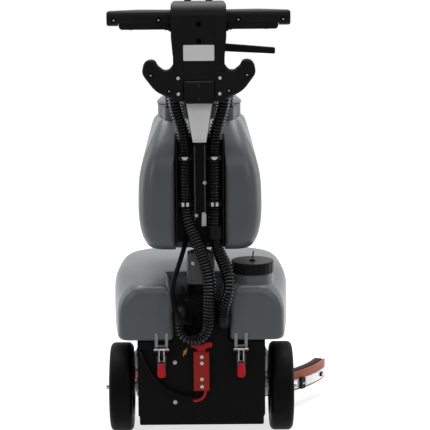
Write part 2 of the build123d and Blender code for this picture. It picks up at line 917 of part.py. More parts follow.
def latch_grip(centre):
    with BuildPart() as grip:
        with BuildSketch(rear_view(latch_pivot_y - 5)):
            make_face(outline(
                (centre - 5.5, latch_grip_high, 4),
                (centre + 5.5, latch_grip_high, 4),
                (centre + latch_grip_w / 2, latch_grip_low + 15, 9),
                (centre + latch_grip_w / 2 - 1.5, latch_grip_low, 7.5),
                (centre - latch_grip_w / 2 + 1.5, latch_grip_low, 7.5),
                (centre - latch_grip_w / 2, latch_grip_low + 15, 9),
            ))
        extrude(amount=8)
        fillet(faces().sort_by(Axis.Y)[0].edges(), 3)
    return grip.part


def latch_hook(centre):
    with BuildPart() as hook:
        for x in (centre - hook_arm_x - hook_arm_t, centre + hook_arm_x):
            with BuildSketch(side_view(x)):
                with Locations((tee_y, (hook_z + tee_z) / 2)):
                    SlotCenterToCenter(hook_len, tee_d, rotation=90)
                with Locations((tee_y, hook_z)):
                    Circle(2 + slide_fit, mode=Mode.SUBTRACT)
            extrude(amount=hook_arm_t)
        with BuildSketch(side_view(centre - tee_w / 2)):
            with Locations((tee_y, tee_z)):
                Circle(tee_d / 2)
        extrude(amount=tee_w)
    return hook.part


fittings = [latch_fitting(x) for x in (-latch_x, latch_x)] + [latch_keeper(x) for x in (-latch_x, latch_x)]
with BuildPart() as latch_fittings:
    add(fittings)
save(latch_fittings.part, "latch_fittings")
for side, name in ((-1, "left"), (1, "right")):
    save(latch_lever(side * latch_x), f"{name}_latch_lever")
    save(latch_grip(side * latch_x), f"{name}_latch_grip")
    save(latch_hook(side * latch_x), f"{name}_latch_hook")

# Battery connector: fixed lower half, sliding upper half with a pull handle
tenon_y = panel_face - plug_t / 2
with BuildPart() as battery_socket:
    with BuildSketch(plan(socket_z0)):
        with Locations((0, tenon_y)):
            RectangleRounded(plug_w, plug_t, 2.5)
    extrude(amount=plug_z0 - socket_z0)
    with BuildSketch(plan(plug_z0 - tenon_h - touch_gap)):
        with Locations((0, tenon_y)):
            Rectangle(tenon_w + 2 * touch_gap, tenon_t + 2 * touch_gap)
    extrude(amount=tenon_h + touch_gap, mode=Mode.SUBTRACT)
save(battery_socket.part, "battery_socket")

with BuildPart() as plug_housing:
    with BuildSketch(plan(plug_z0)):
        with Locations((0, tenon_y - side_gap / 2)):
            RectangleRounded(plug_w, plug_t - side_gap, 2.5)
    extrude(amount=plug_z1 - plug_z0)
    with BuildSketch(plan(plug_z0 - tenon_h)):
        with Locations((0, tenon_y)):
            Rectangle(tenon_w, tenon_t)
    extrude(amount=tenon_h)
save(plug_housing.part, "plug_housing")

with BuildPart() as plug_handle:
    with BuildSketch(rear_view(tenon_y + handle_t / 2)):
        make_face(symmetric(
            (handle_stem_w / 2, plug_z1, 0),
            (handle_stem_w / 2, handle_top - 14, 7),
            (handle_w / 2, handle_top - 10, 3),
            (handle_w / 2, handle_top, 3),
            (handle_stem_w / 2 + 2, handle_top - 1, 8),
            (3, handle_top - 5, 3),
        ))
    extrude(amount=handle_t)
save(plug_handle.part, "plug_handle")


# Tilting column: square tube with a welded knuckle at its foot
with BuildPart() as column_tube:
    with BuildSketch(side_view(-foot_w / 2)):
        with Locations((pivot_y, pivot_z)):
            Circle(knuckle_r)
        with Locations((column_y + 2, pivot_z + 32)):
            Circle(column_w / 2 - 3)
        make_hull()
    extrude(amount=foot_w)
    with BuildSketch(plan(pivot_z + knuckle_r)):
        with Locations((0, column_y)):
            Rectangle(column_w, column_w)
    extrude(amount=column_top - pivot_z - knuckle_r)
    with BuildSketch(plan(sleeve_z0)):
        with Locations((0, column_front - sleeve_d / 2 + column_wall)):
            RectangleRounded(sleeve_w, sleeve_d, sleeve_r)
    extrude(amount=sleeve_z1 - sleeve_z0)
    with BuildSketch(plan(pivot_z + knuckle_r + 40)):
        with Locations((0, column_y)):
            Rectangle(column_w - 2 * column_wall, column_w - 2 * column_wall)
    extrude(amount=column_top - pivot_z - knuckle_r - 40, mode=Mode.SUBTRACT)
    with BuildSketch(side_view(-foot_w / 2)):
        with Locations((pivot_y, pivot_z)):
            Circle(pin_d / 2 + slide_fit)
    extrude(amount=foot_w, mode=Mode.SUBTRACT)
save(column_tube.part, "column_tube")

with BuildPart() as hose_channel:
    with BuildSketch(plan(trough_z0)):
        with BuildLine():
            Polyline(
                (-trough_w / 2, trough_rear),
                (-trough_w / 2, trough_back),
                (trough_w / 2, trough_back),
                (trough_w / 2, trough_rear),
                (trough_w / 2 - trough_sheet, trough_rear),
                (trough_w / 2 - trough_sheet, column_front),
                (-trough_w / 2 + trough_sheet, column_front),
                (-trough_w / 2 + trough_sheet, trough_rear),
                close=True,
            )
        make_face()
    extrude(amount=trough_z1 - trough_z0)
save(hose_channel.part, "hose_channel")


# Recovery tank: egg-shaped body, rounded level by level, with a rear recess and two hose spigots,
# and a collar welded round its mouth
upper_levels = (
    (0.0, 34, 34, 26, 26), (0.024, 22, 22, 12, 12), (0.07, 13, 13, 4, 4), (0.135, 6, 6, 0.5, 0.5),
    (0.25, 0.5, 0.5, 0, 0), (0.42, 0, 0, 0, 0), (0.59, 4, 3, 1.5, 0), (0.72, 14, 11, 10, 0),
    (0.825, 27, 18, 28, 0.5), (0.91, 40, 23, 50, 3), (0.965, 48, 27, 67, 9), (1.0, 57, 35, 80, 21),
)


def recovery_body(inset):
    # Each level: its share of the height, then how far it draws in at the rear and front sides, rear and front.
    with BuildPart() as body:
        for share, rear_side, front_side, rear_in, front_in in upper_levels:
            with BuildSketch(plan(upper_z0 + inset + share * (upper_z1 - upper_z0 - 2 * inset))):
                make_face(symmetric(
                    (upper_w / 2 - rear_side - inset, upper_rear + rear_in + inset, upper_rear_r - rear_side / 3),
                    (upper_w / 2 - front_side - inset, upper_front - front_in - inset, upper_front_r - front_side / 2),
                ))
        loft()
        with BuildSketch(plan(upper_z0)):
            make_face(symmetric(
                (recess_w / 2 + inset, trough_back + inset, 2.5),
                (recess_w / 2 + inset, upper_rear + inset, recess_r),
                (upper_w, upper_rear + inset, 0),
                (upper_w, upper_rear - 50, 0),
            ))
        extrude(amount=upper_z1 - upper_z0, mode=Mode.SUBTRACT)
    return body.part


upper_outside = recovery_body(0)
upper_inside = recovery_body(upper_wall)
ear_inner = hinge_lug_w / 2 + touch_gap
mouth_a = collar_a - collar_wall
mouth_b = collar_b - collar_wall
collar_z0 = upper_z1 + weld_gap
with BuildPart() as recovery_shell:
    add(upper_outside)
    with BuildSketch(plan(upper_z1 - 4 * upper_wall)):
        with Locations((spigot_x, spigot_y), (-spigot_x, spigot_y)):
            Circle(spigot_r)
    extrude(amount=spigot_top - upper_z1 + 4 * upper_wall)
    add(upper_inside, mode=Mode.SUBTRACT)
    with BuildSketch(plan(upper_z1 - 2 * upper_wall)):
        with Locations((0, collar_y)):
            Ellipse(mouth_a, mouth_b)
    extrude(amount=3 * upper_wall, mode=Mode.SUBTRACT)
    with BuildSketch(plan(upper_z1 - 7 * upper_wall)):
        with Locations((spigot_x, spigot_y), (-spigot_x, spigot_y)):
            Circle(spigot_bore)
    extrude(amount=spigot_top - upper_z1 + 7 * upper_wall, mode=Mode.SUBTRACT)

with BuildPart() as recovery_collar:
    with BuildSketch(plan(collar_z0)):
        with Locations((0, collar_y)):
            Ellipse(collar_a, collar_b)
            Ellipse(mouth_a, mouth_b, mode=Mode.SUBTRACT)
    extrude(amount=collar_top - collar_z0)
    for x in (ear_inner, -ear_inner - ear_t):
        with BuildSketch(side_view(x)):
            make_face(outline(
                (collar_y + collar_b - 12, collar_z0, 0),
                (hinge_y + 3, collar_z0, 0),
                (hinge_y + 8, hinge_z + 7, 6),
                (hinge_y - 6.5, hinge_z + 7, 5),
                (hinge_y - 6.5, collar_top - 2, 0),
                (collar_y + collar_b - 12, collar_top - 2, 0),
            ))
        extrude(amount=ear_t)
    with BuildSketch(plan(collar_z0)):
        with Locations((0, collar_y)):
            Ellipse(mouth_a, mouth_b)
    extrude(amount=collar_top - collar_z0, mode=Mode.SUBTRACT)
    with BuildSketch(side_view(-ear_inner - ear_t)):
        with Locations((hinge_y, hinge_z)):
            Circle(hinge_pin_d / 2 + slide_fit)
    extrude(amount=2 * (ear_inner + ear_t), mode=Mode.SUBTRACT)

with BuildPart() as recovery_tank:
    add([recovery_shell.part, recovery_collar.part])
save(recovery_tank.part, "recovery_tank")

# Lid: domed cover with a hinge lug and pin, its seal, and a slotted float cage
with BuildPart() as recovery_lid:
    with BuildSketch(plan(lid_z0)):
        with Locations((0, collar_y)):
            Ellipse(collar_a + lid_over, collar_b + lid_over)
    extrude(amount=lid_z1 - lid_z0)
    fillet(faces().sort_by(Axis.Z)[-1].edges(), lid_round)
    with BuildSketch(plan(lid_z0)):
        with Locations((0, collar_y)):
            Ellipse(collar_a - collar_wall, collar_b - collar_wall)
    extrude(amount=lid_z1 - lid_z0 - lid_wall - lid_round / 2, mode=Mode.SUBTRACT)
    with BuildSketch(side_view(-hinge_lug_w / 2)):
        make_face(outline(
            (collar_y + collar_b - 6, lid_z0, 0),
            (hinge_y + 5, hinge_z - 5, 4),
            (hinge_y + 5, hinge_z + 5, 4),
            (collar_y + collar_b - 6, hinge_z + 6, 0),
        ))
    extrude(amount=hinge_lug_w)
    with BuildSketch(side_view(-ear_inner - ear_t)):
        with Locations((hinge_y, hinge_z)):
            Circle(hinge_pin_d / 2)
    extrude(amount=2 * (ear_inner + ear_t))
save(recovery_lid.part, "recovery_lid")

with BuildPart() as lid_gasket:
    with BuildSketch(plan(seal_z)):
        with Locations((0, collar_y)):
            Ellipse(collar_a - 1, collar_b - 1)
            Ellipse(collar_a - collar_wall + 1, collar_b - collar_wall + 1, mode=Mode.SUBTRACT)
    extrude(amount=seal_t)
save(lid_gasket.part, "lid_gasket")

cage_top = lid_z1 - lid_wall - lid_round / 2
with BuildPart() as float_cage:
    with BuildSketch(plan(cage_bottom)):
        with Locations((-cage_x, collar_y)):
            Circle(cage_d / 2)
    extrude(amount=cage_top - cage_bottom)
    with BuildSketch(plan(cage_bottom + cage_wall)):
        with Locations((-cage_x, collar_y)):
            Circle(cage_d / 2 - cage_wall)
    extrude(amount=cage_top - cage_bottom - 2 * cage_wall, mode=Mode.SUBTRACT)
    for turn in (0, 60, 120):
        with BuildSketch(plan(cage_bottom + 10)):
            with Locations((-cage_x, collar_y)):
                Rectangle(cage_d + 2, 7, rotation=turn)
        extrude(amount=44, mode=Mode.SUBTRACT)
save(float_cage.part, "float_cage")


# Control head: two shells split across the handlebar, deep above and thin behind the hoses
def head_body(inset):
    with BuildPart() as body:
        with BuildSketch(rear_view(head_front)):
            make_face(symmetric(
                (neck_w / 2, head_bottom, 8),
                (neck_w / 2, flare_z, 30),
                (head_w / 2, bar_z - 40, 60),
                (head_w / 2, head_top, 10),
            ))
            if inset:
                offset(amount=-inset)
        extrude(amount=head_front - head_rear)
        with BuildSketch(side_view(-head_w / 2)):
            make_face(outline(
                (head_rear, head_bottom, 4),
                (head_thin, head_bottom, 4),
                (head_thin, cover_top, 8),
                (head_front, cover_top + 30, 12),
                (head_front, head_top, 14),
                (head_rear, head_top, head_round),
            ))
            if inset:
                offset(amount=-inset)
        extrude(amount=head_w, mode=Mode.INTERSECT)
    return body.part


head_outside = head_body(0)
head_inside = head_body(head_wall)
with BuildPart() as head_rear_shell:
    add(head_outside)
    add(head_inside, mode=Mode.SUBTRACT)
    with BuildSketch(side_view(-head_w / 2)):
        with Locations((head_split, bar_z)):
            Circle(bar_d / 2)
    extrude(amount=head_w, mode=Mode.SUBTRACT)
    with BuildSketch(rear_view(head_rear + 2)):
        with Locations((0, (cover_top + bar_z + 8) / 2)):
            RectangleRounded(cover_w + 2, bar_z + 8 - cover_top, 3)
    extrude(amount=3, mode=Mode.SUBTRACT)
    with BuildSketch(rear_view(head_rear + cover_t)):
        with Locations((0, (head_bottom + cover_top) / 2)):
            Rectangle(cover_w, cover_top - head_bottom)
    extrude(amount=cover_t, mode=Mode.SUBTRACT)
    with BuildSketch(rear_view(head_rear + 8)):
        with Locations((0, bar_z - 11), (0, bar_z - 49)):
            Circle(5.6)
    extrude(amount=10, mode=Mode.SUBTRACT)
    split(bisect_by=rear_view(head_split), keep=Keep.TOP)
save(head_rear_shell.part, "head_rear_shell")

lever_drop = math.tan(math.radians(lever_swing))
slot_reach = head_w / 2 - lever_axis_x
slot_low = lever_z - slot_reach * lever_drop - lever_root_t / 2 / math.cos(math.radians(lever_swing)) - 1
with BuildPart() as head_front_shell:
    add(head_outside)
    add(head_inside, mode=Mode.SUBTRACT)
    with BuildSketch(side_view(-head_w / 2)):
        with Locations((head_split, bar_z)):
            Circle(bar_d / 2)
    extrude(amount=head_w, mode=Mode.SUBTRACT)
    with BuildSketch(plan(cover_top)):
        with Locations((0, column_y)):
            Rectangle(column_w + 2 * side_gap, column_w + 2 * side_gap)
    extrude(amount=40, mode=Mode.SUBTRACT)
    with BuildSketch(side_view(-head_w / 2)):
        with Locations((paddle_axis_y, paddle_axis_z)):
            Circle(paddle_pin_d / 2 + slide_fit)
    extrude(amount=head_w, mode=Mode.SUBTRACT)
    with BuildSketch(side_view(lever_axis_x)):
        with Locations((lever_axis_y, (slot_low + lever_z + lever_root_t / 2 + 1) / 2)):
            Rectangle(lever_w + 1, lever_z + lever_root_t / 2 + 1 - slot_low)
    extrude(amount=head_w / 2, mode=Mode.SUBTRACT)
    with BuildSketch(rear_view(head_front - head_wall)):
        with Locations((lever_axis_x, lever_z)):
            Circle(lever_pin_d)
    extrude(amount=head_front - head_wall - lever_axis_y - lever_w / 2 - touch_gap)
    with BuildSketch(rear_view(head_front - head_wall)):
        with Locations((lever_axis_x, lever_z)):
            Circle(lever_pin_d / 2)
    extrude(amount=head_front - head_wall - lever_axis_y + lever_w / 2)
    with BuildSketch(plan(head_top - 2 * head_wall)):
        with Locations((button_x, button_y), (-button_x, button_y)):
            Circle(button_d / 2 + slide_fit)
    extrude(amount=4 * head_wall, mode=Mode.SUBTRACT)
    split(bisect_by=rear_view(head_split), keep=Keep.BOTTOM)
save(head_front_shell.part, "head_front_shell")

with BuildPart() as control_board:
    with BuildSketch(rear_view(head_front - head_wall)):
        with Locations((-4, bar_z - 14)):
            RectangleRounded(72, 46, 3)
    extrude(amount=1.6)
    with BuildSketch(rear_view(head_front - head_wall - 1.6)):
        with Locations((-22, bar_z - 10), (8, bar_z - 18)):
            Rectangle(16, 16)
    extrude(amount=4)
save(control_board.part, "control_board")

# Lower cover of the head: inset plate, a floor under the head and a tapered tongue behind the column
with BuildPart() as head_lower_cover:
    with BuildSketch(rear_view(head_rear + cover_t)):
        with Locations((0, (head_bottom - cover_t + cover_top - side_gap) / 2)):
            RectangleRounded(cover_w - side_gap, cover_top - side_gap - head_bottom + cover_t, 3)
    extrude(amount=cover_t + cover_proud)
    chamfer(faces().sort_by(Axis.Y)[0].edges(), cover_proud - side_gap)
    with BuildSketch(plan(head_bottom - cover_t)):
        with Locations((0, (head_rear + column_rear) / 2)):
            Rectangle(cover_w - 4, column_rear - head_rear)
    extrude(amount=cover_t)
    with BuildSketch(rear_view(column_rear)):
        make_face(symmetric(
            (cover_w / 2 - 2, head_bottom - cover_t, 0),
            (tongue_low_w / 2 + 2, tongue_low + 25, 20),
            (tongue_low_w / 2 - 5, tongue_low, 10),
        ))
    extrude(amount=column_rear - tongue_face)
save(head_lower_cover.part, "head_lower_cover")

tang = column_w / 2 - column_wall - slide_fit
with BuildPart() as handlebar:
    with BuildSketch(side_view(-bar_half)):
        with Locations((head_split, bar_z)):
            Circle(bar_d / 2)
    extrude(amount=2 * bar_half)
    with BuildSketch(plan(column_top - 60)):
        with Locations((0, column_y)):
            Rectangle(2 * tang, 2 * tang)
    extrude(amount=bar_z - column_top + 60)
save(handlebar.part, "handlebar")


# Grips: rounded, slightly crowned handles with a lug for the paddle's outer pivot
def grip(side):
    with BuildPart() as handle:
        with BuildSketch(side_view(0)):
            with Locations((head_split, (grip_low + grip_high) / 2)):
                RectangleRounded(grip_depth, grip_high - grip_low, grip_round)
        extrude(amount=side * grip_end)
        with BuildSketch(rear_view(head_split + grip_depth / 2)):
            make_face(outline(
                (side * head_w / 2, grip_low, 0),
                (side * grip_end, grip_low, 5),
                (side * grip_end, grip_high - 3, 5),
                (side * (grip_end + head_w / 2) / 2, grip_high, 200),
                (side * head_w / 2, grip_high - 1, 0),
            ))
        extrude(amount=grip_depth, mode=Mode.INTERSECT)
        slot_mid = side * (paddle_x0 + paddle_x1) / 2
        slot_y0 = head_split - grip_depth / 2 + paddle_lip
        slot_y1 = head_split + grip_depth / 2
        with BuildSketch(plan(grip_low)):
            with Locations((slot_mid, (slot_y0 + slot_y1) / 2)):
                Rectangle(paddle_x1 - paddle_x0 + 4, slot_y1 - slot_y0)
        extrude(amount=bar_z - bar_d / 2 - grip_low - side_gap, mode=Mode.SUBTRACT)
        with BuildSketch(plan(bar_z - bar_d / 2 - side_gap)):
            with Locations((slot_mid, slot_y0 + paddle_groove_w / 2)):
                Rectangle(paddle_x1 - paddle_x0 + 4, paddle_groove_w)
        extrude(amount=paddle_groove_h, mode=Mode.SUBTRACT)
        lug_end = grip_lug_x + grip_lug_t
        with BuildSketch(side_view(min(side * grip_lug_x, side * lug_end))):
            make_face(outline(
                (paddle_axis_y - 6, grip_low + 8, 0),
                (paddle_axis_y - 6, paddle_axis_z - 4.5, 4),
                (paddle_axis_y + 5, paddle_axis_z - 4.5, 4),
                (paddle_axis_y + 5, grip_low + 14, 0),
            ))
        extrude(amount=grip_lug_t)
        with BuildSketch(side_view(min(side * grip_lug_x, side * lug_end))):
            with Locations((paddle_axis_y, paddle_axis_z)):
                Circle(paddle_pin_d / 2 + slide_fit)
        extrude(amount=grip_lug_t, mode=Mode.SUBTRACT)
        with BuildSketch(side_view(0)):
            with Locations((head_split, bar_z)):
                Circle(bar_d / 2)
        extrude(amount=side * bar_half, mode=Mode.SUBTRACT)
        with BuildSketch(rear_view(head_split - grip_depth / 2)):
            with Locations(*[(side * x, z) for x, z in grip_screws]):
                Circle(screw_hole_d / 2)
        extrude(amount=-grip_hole_depth, mode=Mode.SUBTRACT)
    return handle.part


handles = [grip(-1), grip(1)]
with BuildPart() as grips:
    add(handles)
save(grips.part, "grips")


def paddle(side):
    rear = paddle_axis_y - paddle_depth
    low = grip_low - paddle_t
    with BuildPart() as plate:
        with BuildSketch(side_view(min(side * paddle_x0, side * paddle_x1))):
            make_face(outline(
                (paddle_axis_y + 4.5, paddle_axis_z - 4.5, 4),
                (paddle_axis_y + 4.5, paddle_axis_z + 4, 4),
                (rear + paddle_edge_t, grip_low + touch_gap, 1),
                (rear + paddle_edge_t, paddle_edge_top, 1),
                (rear, paddle_edge_top, 1),
                (rear, low - 1.6, 3),
            ))
        extrude(amount=paddle_x1 - paddle_x0)
        with BuildSketch(rear_view(slot_front)):
            make_face(outline(
                (side * paddle_x0, low - 1.6, 1),
                (side * (paddle_x0 + 10), low - 1.6, 1),
                (side * (paddle_x0 + 12), low, 1),
                (side * paddle_x1, low, 8),
                (side * paddle_x1, paddle_edge_top + 1, 0),
                (side * paddle_x0, paddle_edge_top + 1, 0),
            ))
        extrude(amount=2 * grip_depth, mode=Mode.INTERSECT)
        with BuildSketch(plan(low - 5)):
            with Locations((side * (grip_lug_x + grip_lug_t / 2), paddle_axis_y)):
                Rectangle(grip_lug_t + 2 * side_gap, 15)
        extrude(amount=30, mode=Mode.SUBTRACT)
        pin_start = head_w / 2 - head_wall + 0.5
        pin_end = grip_lug_x + grip_lug_t
        with BuildSketch(side_view(min(side * pin_start, side * pin_end))):
            with Locations((paddle_axis_y, paddle_axis_z)):
                Circle(paddle_pin_d / 2)
        extrude(amount=pin_end - pin_start)
    return plate.part


slot_front = head_split + grip_depth / 2 + 5
save(paddle(-1), "left_paddle")
save(paddle(1), "right_paddle")

with BuildPart() as squeegee_lever:
    with BuildSketch(rear_view(lever_axis_y + lever_w / 2)):
        make_face(outline(
            (lever_axis_x, lever_z + lever_root_t / 2, 0),
            (lever_end, lever_z - 2, 3),
            (lever_end, lever_z - 2 - lever_tip_t, 3),
            (lever_axis_x, lever_z - lever_root_t / 2, 0),
        ))
        with Locations((lever_axis_x, lever_z)):
            Circle(lever_root_t / 2)
            Circle(lever_pin_d / 2 + slide_fit, mode=Mode.SUBTRACT)
    extrude(amount=lever_w)
save(squeegee_lever.part, "squeegee_lever")

for side, name in ((-1, "left_button"), (1, "right_button")):
    with BuildPart() as button:
        with BuildSketch(plan(head_top - head_wall - button_flange)):
            with Locations((side * button_x, button_y)):
                Circle(button_d / 2)
        extrude(amount=head_wall + button_flange + button_proud)
        fillet(faces().sort_by(Axis.Z)[-1].edges(), 1.5)
        with BuildSketch(plan(head_top - head_wall - button_flange)):
            with Locations((side * button_x, button_y)):
                Circle(button_d / 2 + 2)
        extrude(amount=button_flange - touch_gap)
    save(button.part, name)

# Cable hooks: two horns beside the head, each with a strip that is screwed to its rear face
with BuildPart() as cable_hooks:
    root = neck_w / 2
    with BuildSketch(rear_view(hook_front)):
        make_face(outline(
            (root, 886, 0),
            (root + 14, 868, 14),
            (root + 34, 884, 6),
            (root + 40, 897, 12),
            (root + 64, 897, 17),
            (root + 70, 866, 22),
            (root + 40, 826, 60),
            (root, 808, 0),
        ))
    extrude(amount=hook_front - hook_rear)
    fillet(faces().sort_by(Axis.Y)[0].edges().sort_by(Axis.X)[1:], 5)
    with BuildSketch(rear_view(head_rear)):
        with Locations(((cover_w / 2 + 2 + root + 1) / 2, (head_bottom + 3 + 868) / 2)):
            RectangleRounded(root + 1 - cover_w / 2 - 2, 868 - head_bottom - 3, 0.8)
    extrude(amount=head_rear - hook_rear)
    with BuildSketch(rear_view(hook_rear)):
        with Locations(*hook_screws):
            Circle(screw_hole_d / 2)
    extrude(amount=-screw_hole_depth, mode=Mode.SUBTRACT)
    mirror(about=Plane.YZ)
save(cable_hooks.part, "cable_hooks")

# Hose ports on the tongue: two elbows, the left one turned down and the right one turned up
with BuildPart() as hose_ports:
    with BuildSketch(rear_view(panel_face)):
        with Locations((left_port_x, left_port_z)):
            Circle(port_r)
            Circle(port_bore_r, mode=Mode.SUBTRACT)
    revolve(axis=Axis((left_port_x, panel_face, left_port_z - elbow_r), (1, 0, 0)), revolution_arc=90)
    with BuildSketch(rear_view(panel_face)):
        with Locations((right_port_x, right_port_z)):
            Circle(port_r)
            Circle(port_bore_r, mode=Mode.SUBTRACT)
    revolve(axis=Axis((right_port_x, panel_face, right_port_z + elbow_r), (-1, 0, 0)), revolution_arc=90)
save(hose_ports.part, "hose_ports")

elbow_y = panel_face - elbow_r
upper_route = [
    (40, -88, 742),
    (52, -88, 776),
    (59, -88, 816.6),
    (62, -64.6, 840),
    (64, -31.4, 840),
    (spigot_x, spigot_y, 816.6),
    (spigot_x, spigot_y, spigot_top),
]
left_route = [
    (left_port_x, elbow_y, left_port_z - elbow_r),
    (left_port_x, elbow_y, left_port_z - elbow_r - 14),
    (-43, -139, 270),
    (-30, -143, 261),
    (-10, -143, 259),
    (9, -143, 270),
    (17, -142, 298),
    (17, -142, 340),
    (17, -140, 376),
    (11, -131, 412),
    (-3, -117, 450),
    (-18, -106, 488),
    (-30, -96, 522),
    (-hose_x, hose_y, 556),
    (-hose_x, hose_y, 706),
] + [(-x, y, z) for x, y, z in upper_route]
right_route = [
    (right_port_x, elbow_y, right_port_z + elbow_r),
    (right_port_x, elbow_y, right_port_z + elbow_r + 16),
    (right_port_x + 5, elbow_y - 5, right_port_z + elbow_r + 38),
    (60, -142, 376),
    (55, -129, 408),
    (43, -106, 436),
    (hose_x, hose_y, 464),
    (hose_x, hose_y, 706),
] + upper_route


def ribbed_hose(route):
    # Ribs along the route: the X axis is carried along, so that the circles do not twist.
    with BuildLine() as path:
        FilletPolyline(*route, radius=corner_radii(route))
    wire = path.wires()[0]
    cuff = 2 * hose_r
    pitch = (wire.length - 2 * cuff) / hose_ribs
    stations = [(0.0, hose_valley_r)]
    for rib in range(hose_ribs):
        start = cuff + rib * pitch
        for share, radius in ((0.0, hose_valley_r), (0.25, hose_r), (0.6, hose_r), (0.85, hose_valley_r)):
            stations.append((start + share * pitch, radius))
    stations.append((wire.length, hose_valley_r))
    steady = Vector(1, 0, 0)
    planes = []
    for along, radius in stations:
        centre = wire.position_at(along, position_mode=PositionMode.LENGTH)
        tangent = wire.tangent_at(along, position_mode=PositionMode.LENGTH)
        steady = (steady - tangent * steady.dot(tangent)).normalized()
        planes.append((Plane(centre, x_dir=steady, z_dir=tangent), radius))
    with BuildPart() as hose:
        for plane, radius in planes:
            with BuildSketch(plane):
                Circle(radius)
        loft(ruled=True)
        for plane, radius in planes[::2]:
            with BuildSketch(plane):
                Circle(hose_bore_r)
        if len(planes) % 2 == 0:
            with BuildSketch(planes[-1][0]):
                Circle(hose_bore_r)
        loft(ruled=True, mode=Mode.SUBTRACT)
    print("hose length", round(wire.length), "rib pitch", round(pitch, 2), "volume", round(hose.part.volume))
    return hose.part


save(ribbed_hose(left_route), "left_hose")
save(ribbed_hose(right_route), "right_hose")

# Hose clips: rings that hold the hoses in the channel, and a wide strap on the right hose
with BuildPart() as hose_clips:
    for level, height, places in (
        (clip_levels[0], clip_h, (-1, 1)),
        (clip_levels[1], clip_h, (-1, 1)),
        (strap_level + wide_strap_h / 2, wide_strap_h, (1,)),
    ):
        with BuildSketch(plan(level - height / 2)):
            with Locations([(side * hose_x, hose_y) for side in places]):
                Circle(hose_r + touch_gap + clip_t)
                Circle(hose_r + touch_gap, mode=Mode.SUBTRACT)
        extrude(amount=height)
save(hose_clips.part, "hose_clips")


# Round cords: straight runs joined by tangent arcs
def cord(route, diameter, label):
    radii = corner_radii(route)
    with BuildPart() as tube:
        with BuildLine() as path:
            FilletPolyline(*route, radius=radii)
        with BuildSketch(Plane(path.line @ 0, z_dir=path.line % 0)):
            Circle(diameter / 2)
        sweep(path=path.line)
    length = sum(edge.length for edge in path.edges())
    ratio = tube.part.volume / (length * math.pi * diameter ** 2 / 4)
    print(label, "length", round(length), "radii", [round(r) for r in radii], "volume ratio", round(ratio, 3))
    return tube.part


harness_route = [
    (-column_w / 2, -64, 516),
    (-31, -64, 516),
    (-39, -84, 472),
    (-48, -110, 434),
    (-60, -131, 402),
    (-66, -142, 376),
    (-63, -151, 346),
    (-52, -157, 318),
    (-33, -154, 299),
    (-14, -136, 297),
    (-14, panel_face, 297),
]
save(cord(harness_route, harness_d, "harness"), "harness_cable")

black_route = [
    (-138, panel_face, 222),
    (-138, -122, 222),
    (-126, -122, 192),
    (-108, -122, 162),
    (-82, -122, 134),
    (-50, -122, 119),
    (-26, -121, 113),
    (-9, tenon_y, 116),
    (-9, tenon_y, socket_z0),
]
save(cord(black_route, lead_d, "black lead"), "black_lead")

red_route = [
    (9, tenon_y, socket_z0),
    (9, tenon_y, 121),
    (0, -121, 110),
    (-18, -121, 105),
    (-18, panel_face, 105),
]
save(cord(red_route, lead_d - 1, "red lead"), "red_lead")
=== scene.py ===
import bmesh
import bpy
import math
import numpy as np
from mathutils import Matrix


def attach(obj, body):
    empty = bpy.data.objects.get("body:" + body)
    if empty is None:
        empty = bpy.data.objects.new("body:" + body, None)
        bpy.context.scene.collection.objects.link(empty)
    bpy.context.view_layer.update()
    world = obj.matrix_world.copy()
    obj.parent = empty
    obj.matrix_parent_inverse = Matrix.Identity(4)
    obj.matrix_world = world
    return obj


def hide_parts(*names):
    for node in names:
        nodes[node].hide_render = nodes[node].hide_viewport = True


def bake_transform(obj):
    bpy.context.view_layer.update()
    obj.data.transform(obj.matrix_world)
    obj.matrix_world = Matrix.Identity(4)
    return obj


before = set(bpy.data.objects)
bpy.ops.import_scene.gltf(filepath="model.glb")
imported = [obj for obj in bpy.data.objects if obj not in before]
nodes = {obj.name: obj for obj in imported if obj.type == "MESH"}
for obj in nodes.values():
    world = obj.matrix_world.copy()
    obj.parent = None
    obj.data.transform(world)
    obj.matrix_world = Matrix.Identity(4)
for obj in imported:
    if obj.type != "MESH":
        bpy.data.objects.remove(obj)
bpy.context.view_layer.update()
print("frame loaded:", len(nodes), "nodes")


# a node of one kind, with its settings and the values of its inputs
def addNode(tree, kind, values=None, **settings):
    node = tree.nodes.new(kind)
    for name, value in settings.items():
        setattr(node, name, value)
    for name, value in (values or {}).items():
        node.inputs[name].default_value = value
    return node


# a finish of one colour, roughness, metal share and gloss, with the coordinates that its pattern reads
def newFinish(name, colour, rough, metal=0.0, specular=0.5):
    finish = bpy.data.materials.new(name)
    finish.use_nodes = True
    tree = finish.node_tree
    skin = tree.nodes["Principled BSDF"]
    skin.inputs["Base Color"].default_value = (*colour, 1)
    skin.inputs["Roughness"].default_value = rough
    skin.inputs["Metallic"].default_value = metal
    skin.inputs["Specular IOR Level"].default_value = specular
    place = addNode(tree, "ShaderNodeTexCoord").outputs["Object"]
    return finish, tree, skin, place


# noise of one size over the coordinates, which may be stretched along each axis first
def cloud(tree, place, size, detail=3.0, roughness=0.55, stretch=None):
    if stretch:
        spread = addNode(tree, "ShaderNodeMapping", {"Scale": stretch})
        tree.links.new(place, spread.inputs["Vector"])
        place = spread.outputs["Vector"]
    noise = addNode(tree, "ShaderNodeTexNoise", {"Scale": size, "Detail": detail, "Roughness": roughness})
    tree.links.new(place, noise.inputs["Vector"])
    return noise.outputs["Fac"]


# a value carried in a straight line from one span to another, and held at its ends
def ranged(tree, value, low, high, outLow, outHigh):
    ends = {"From Min": low, "From Max": high, "To Min": outLow, "To Max": outHigh}
    span = addNode(tree, "ShaderNodeMapRange", ends)
    tree.links.new(value, span.inputs["Value"])
    return span.outputs["Result"]


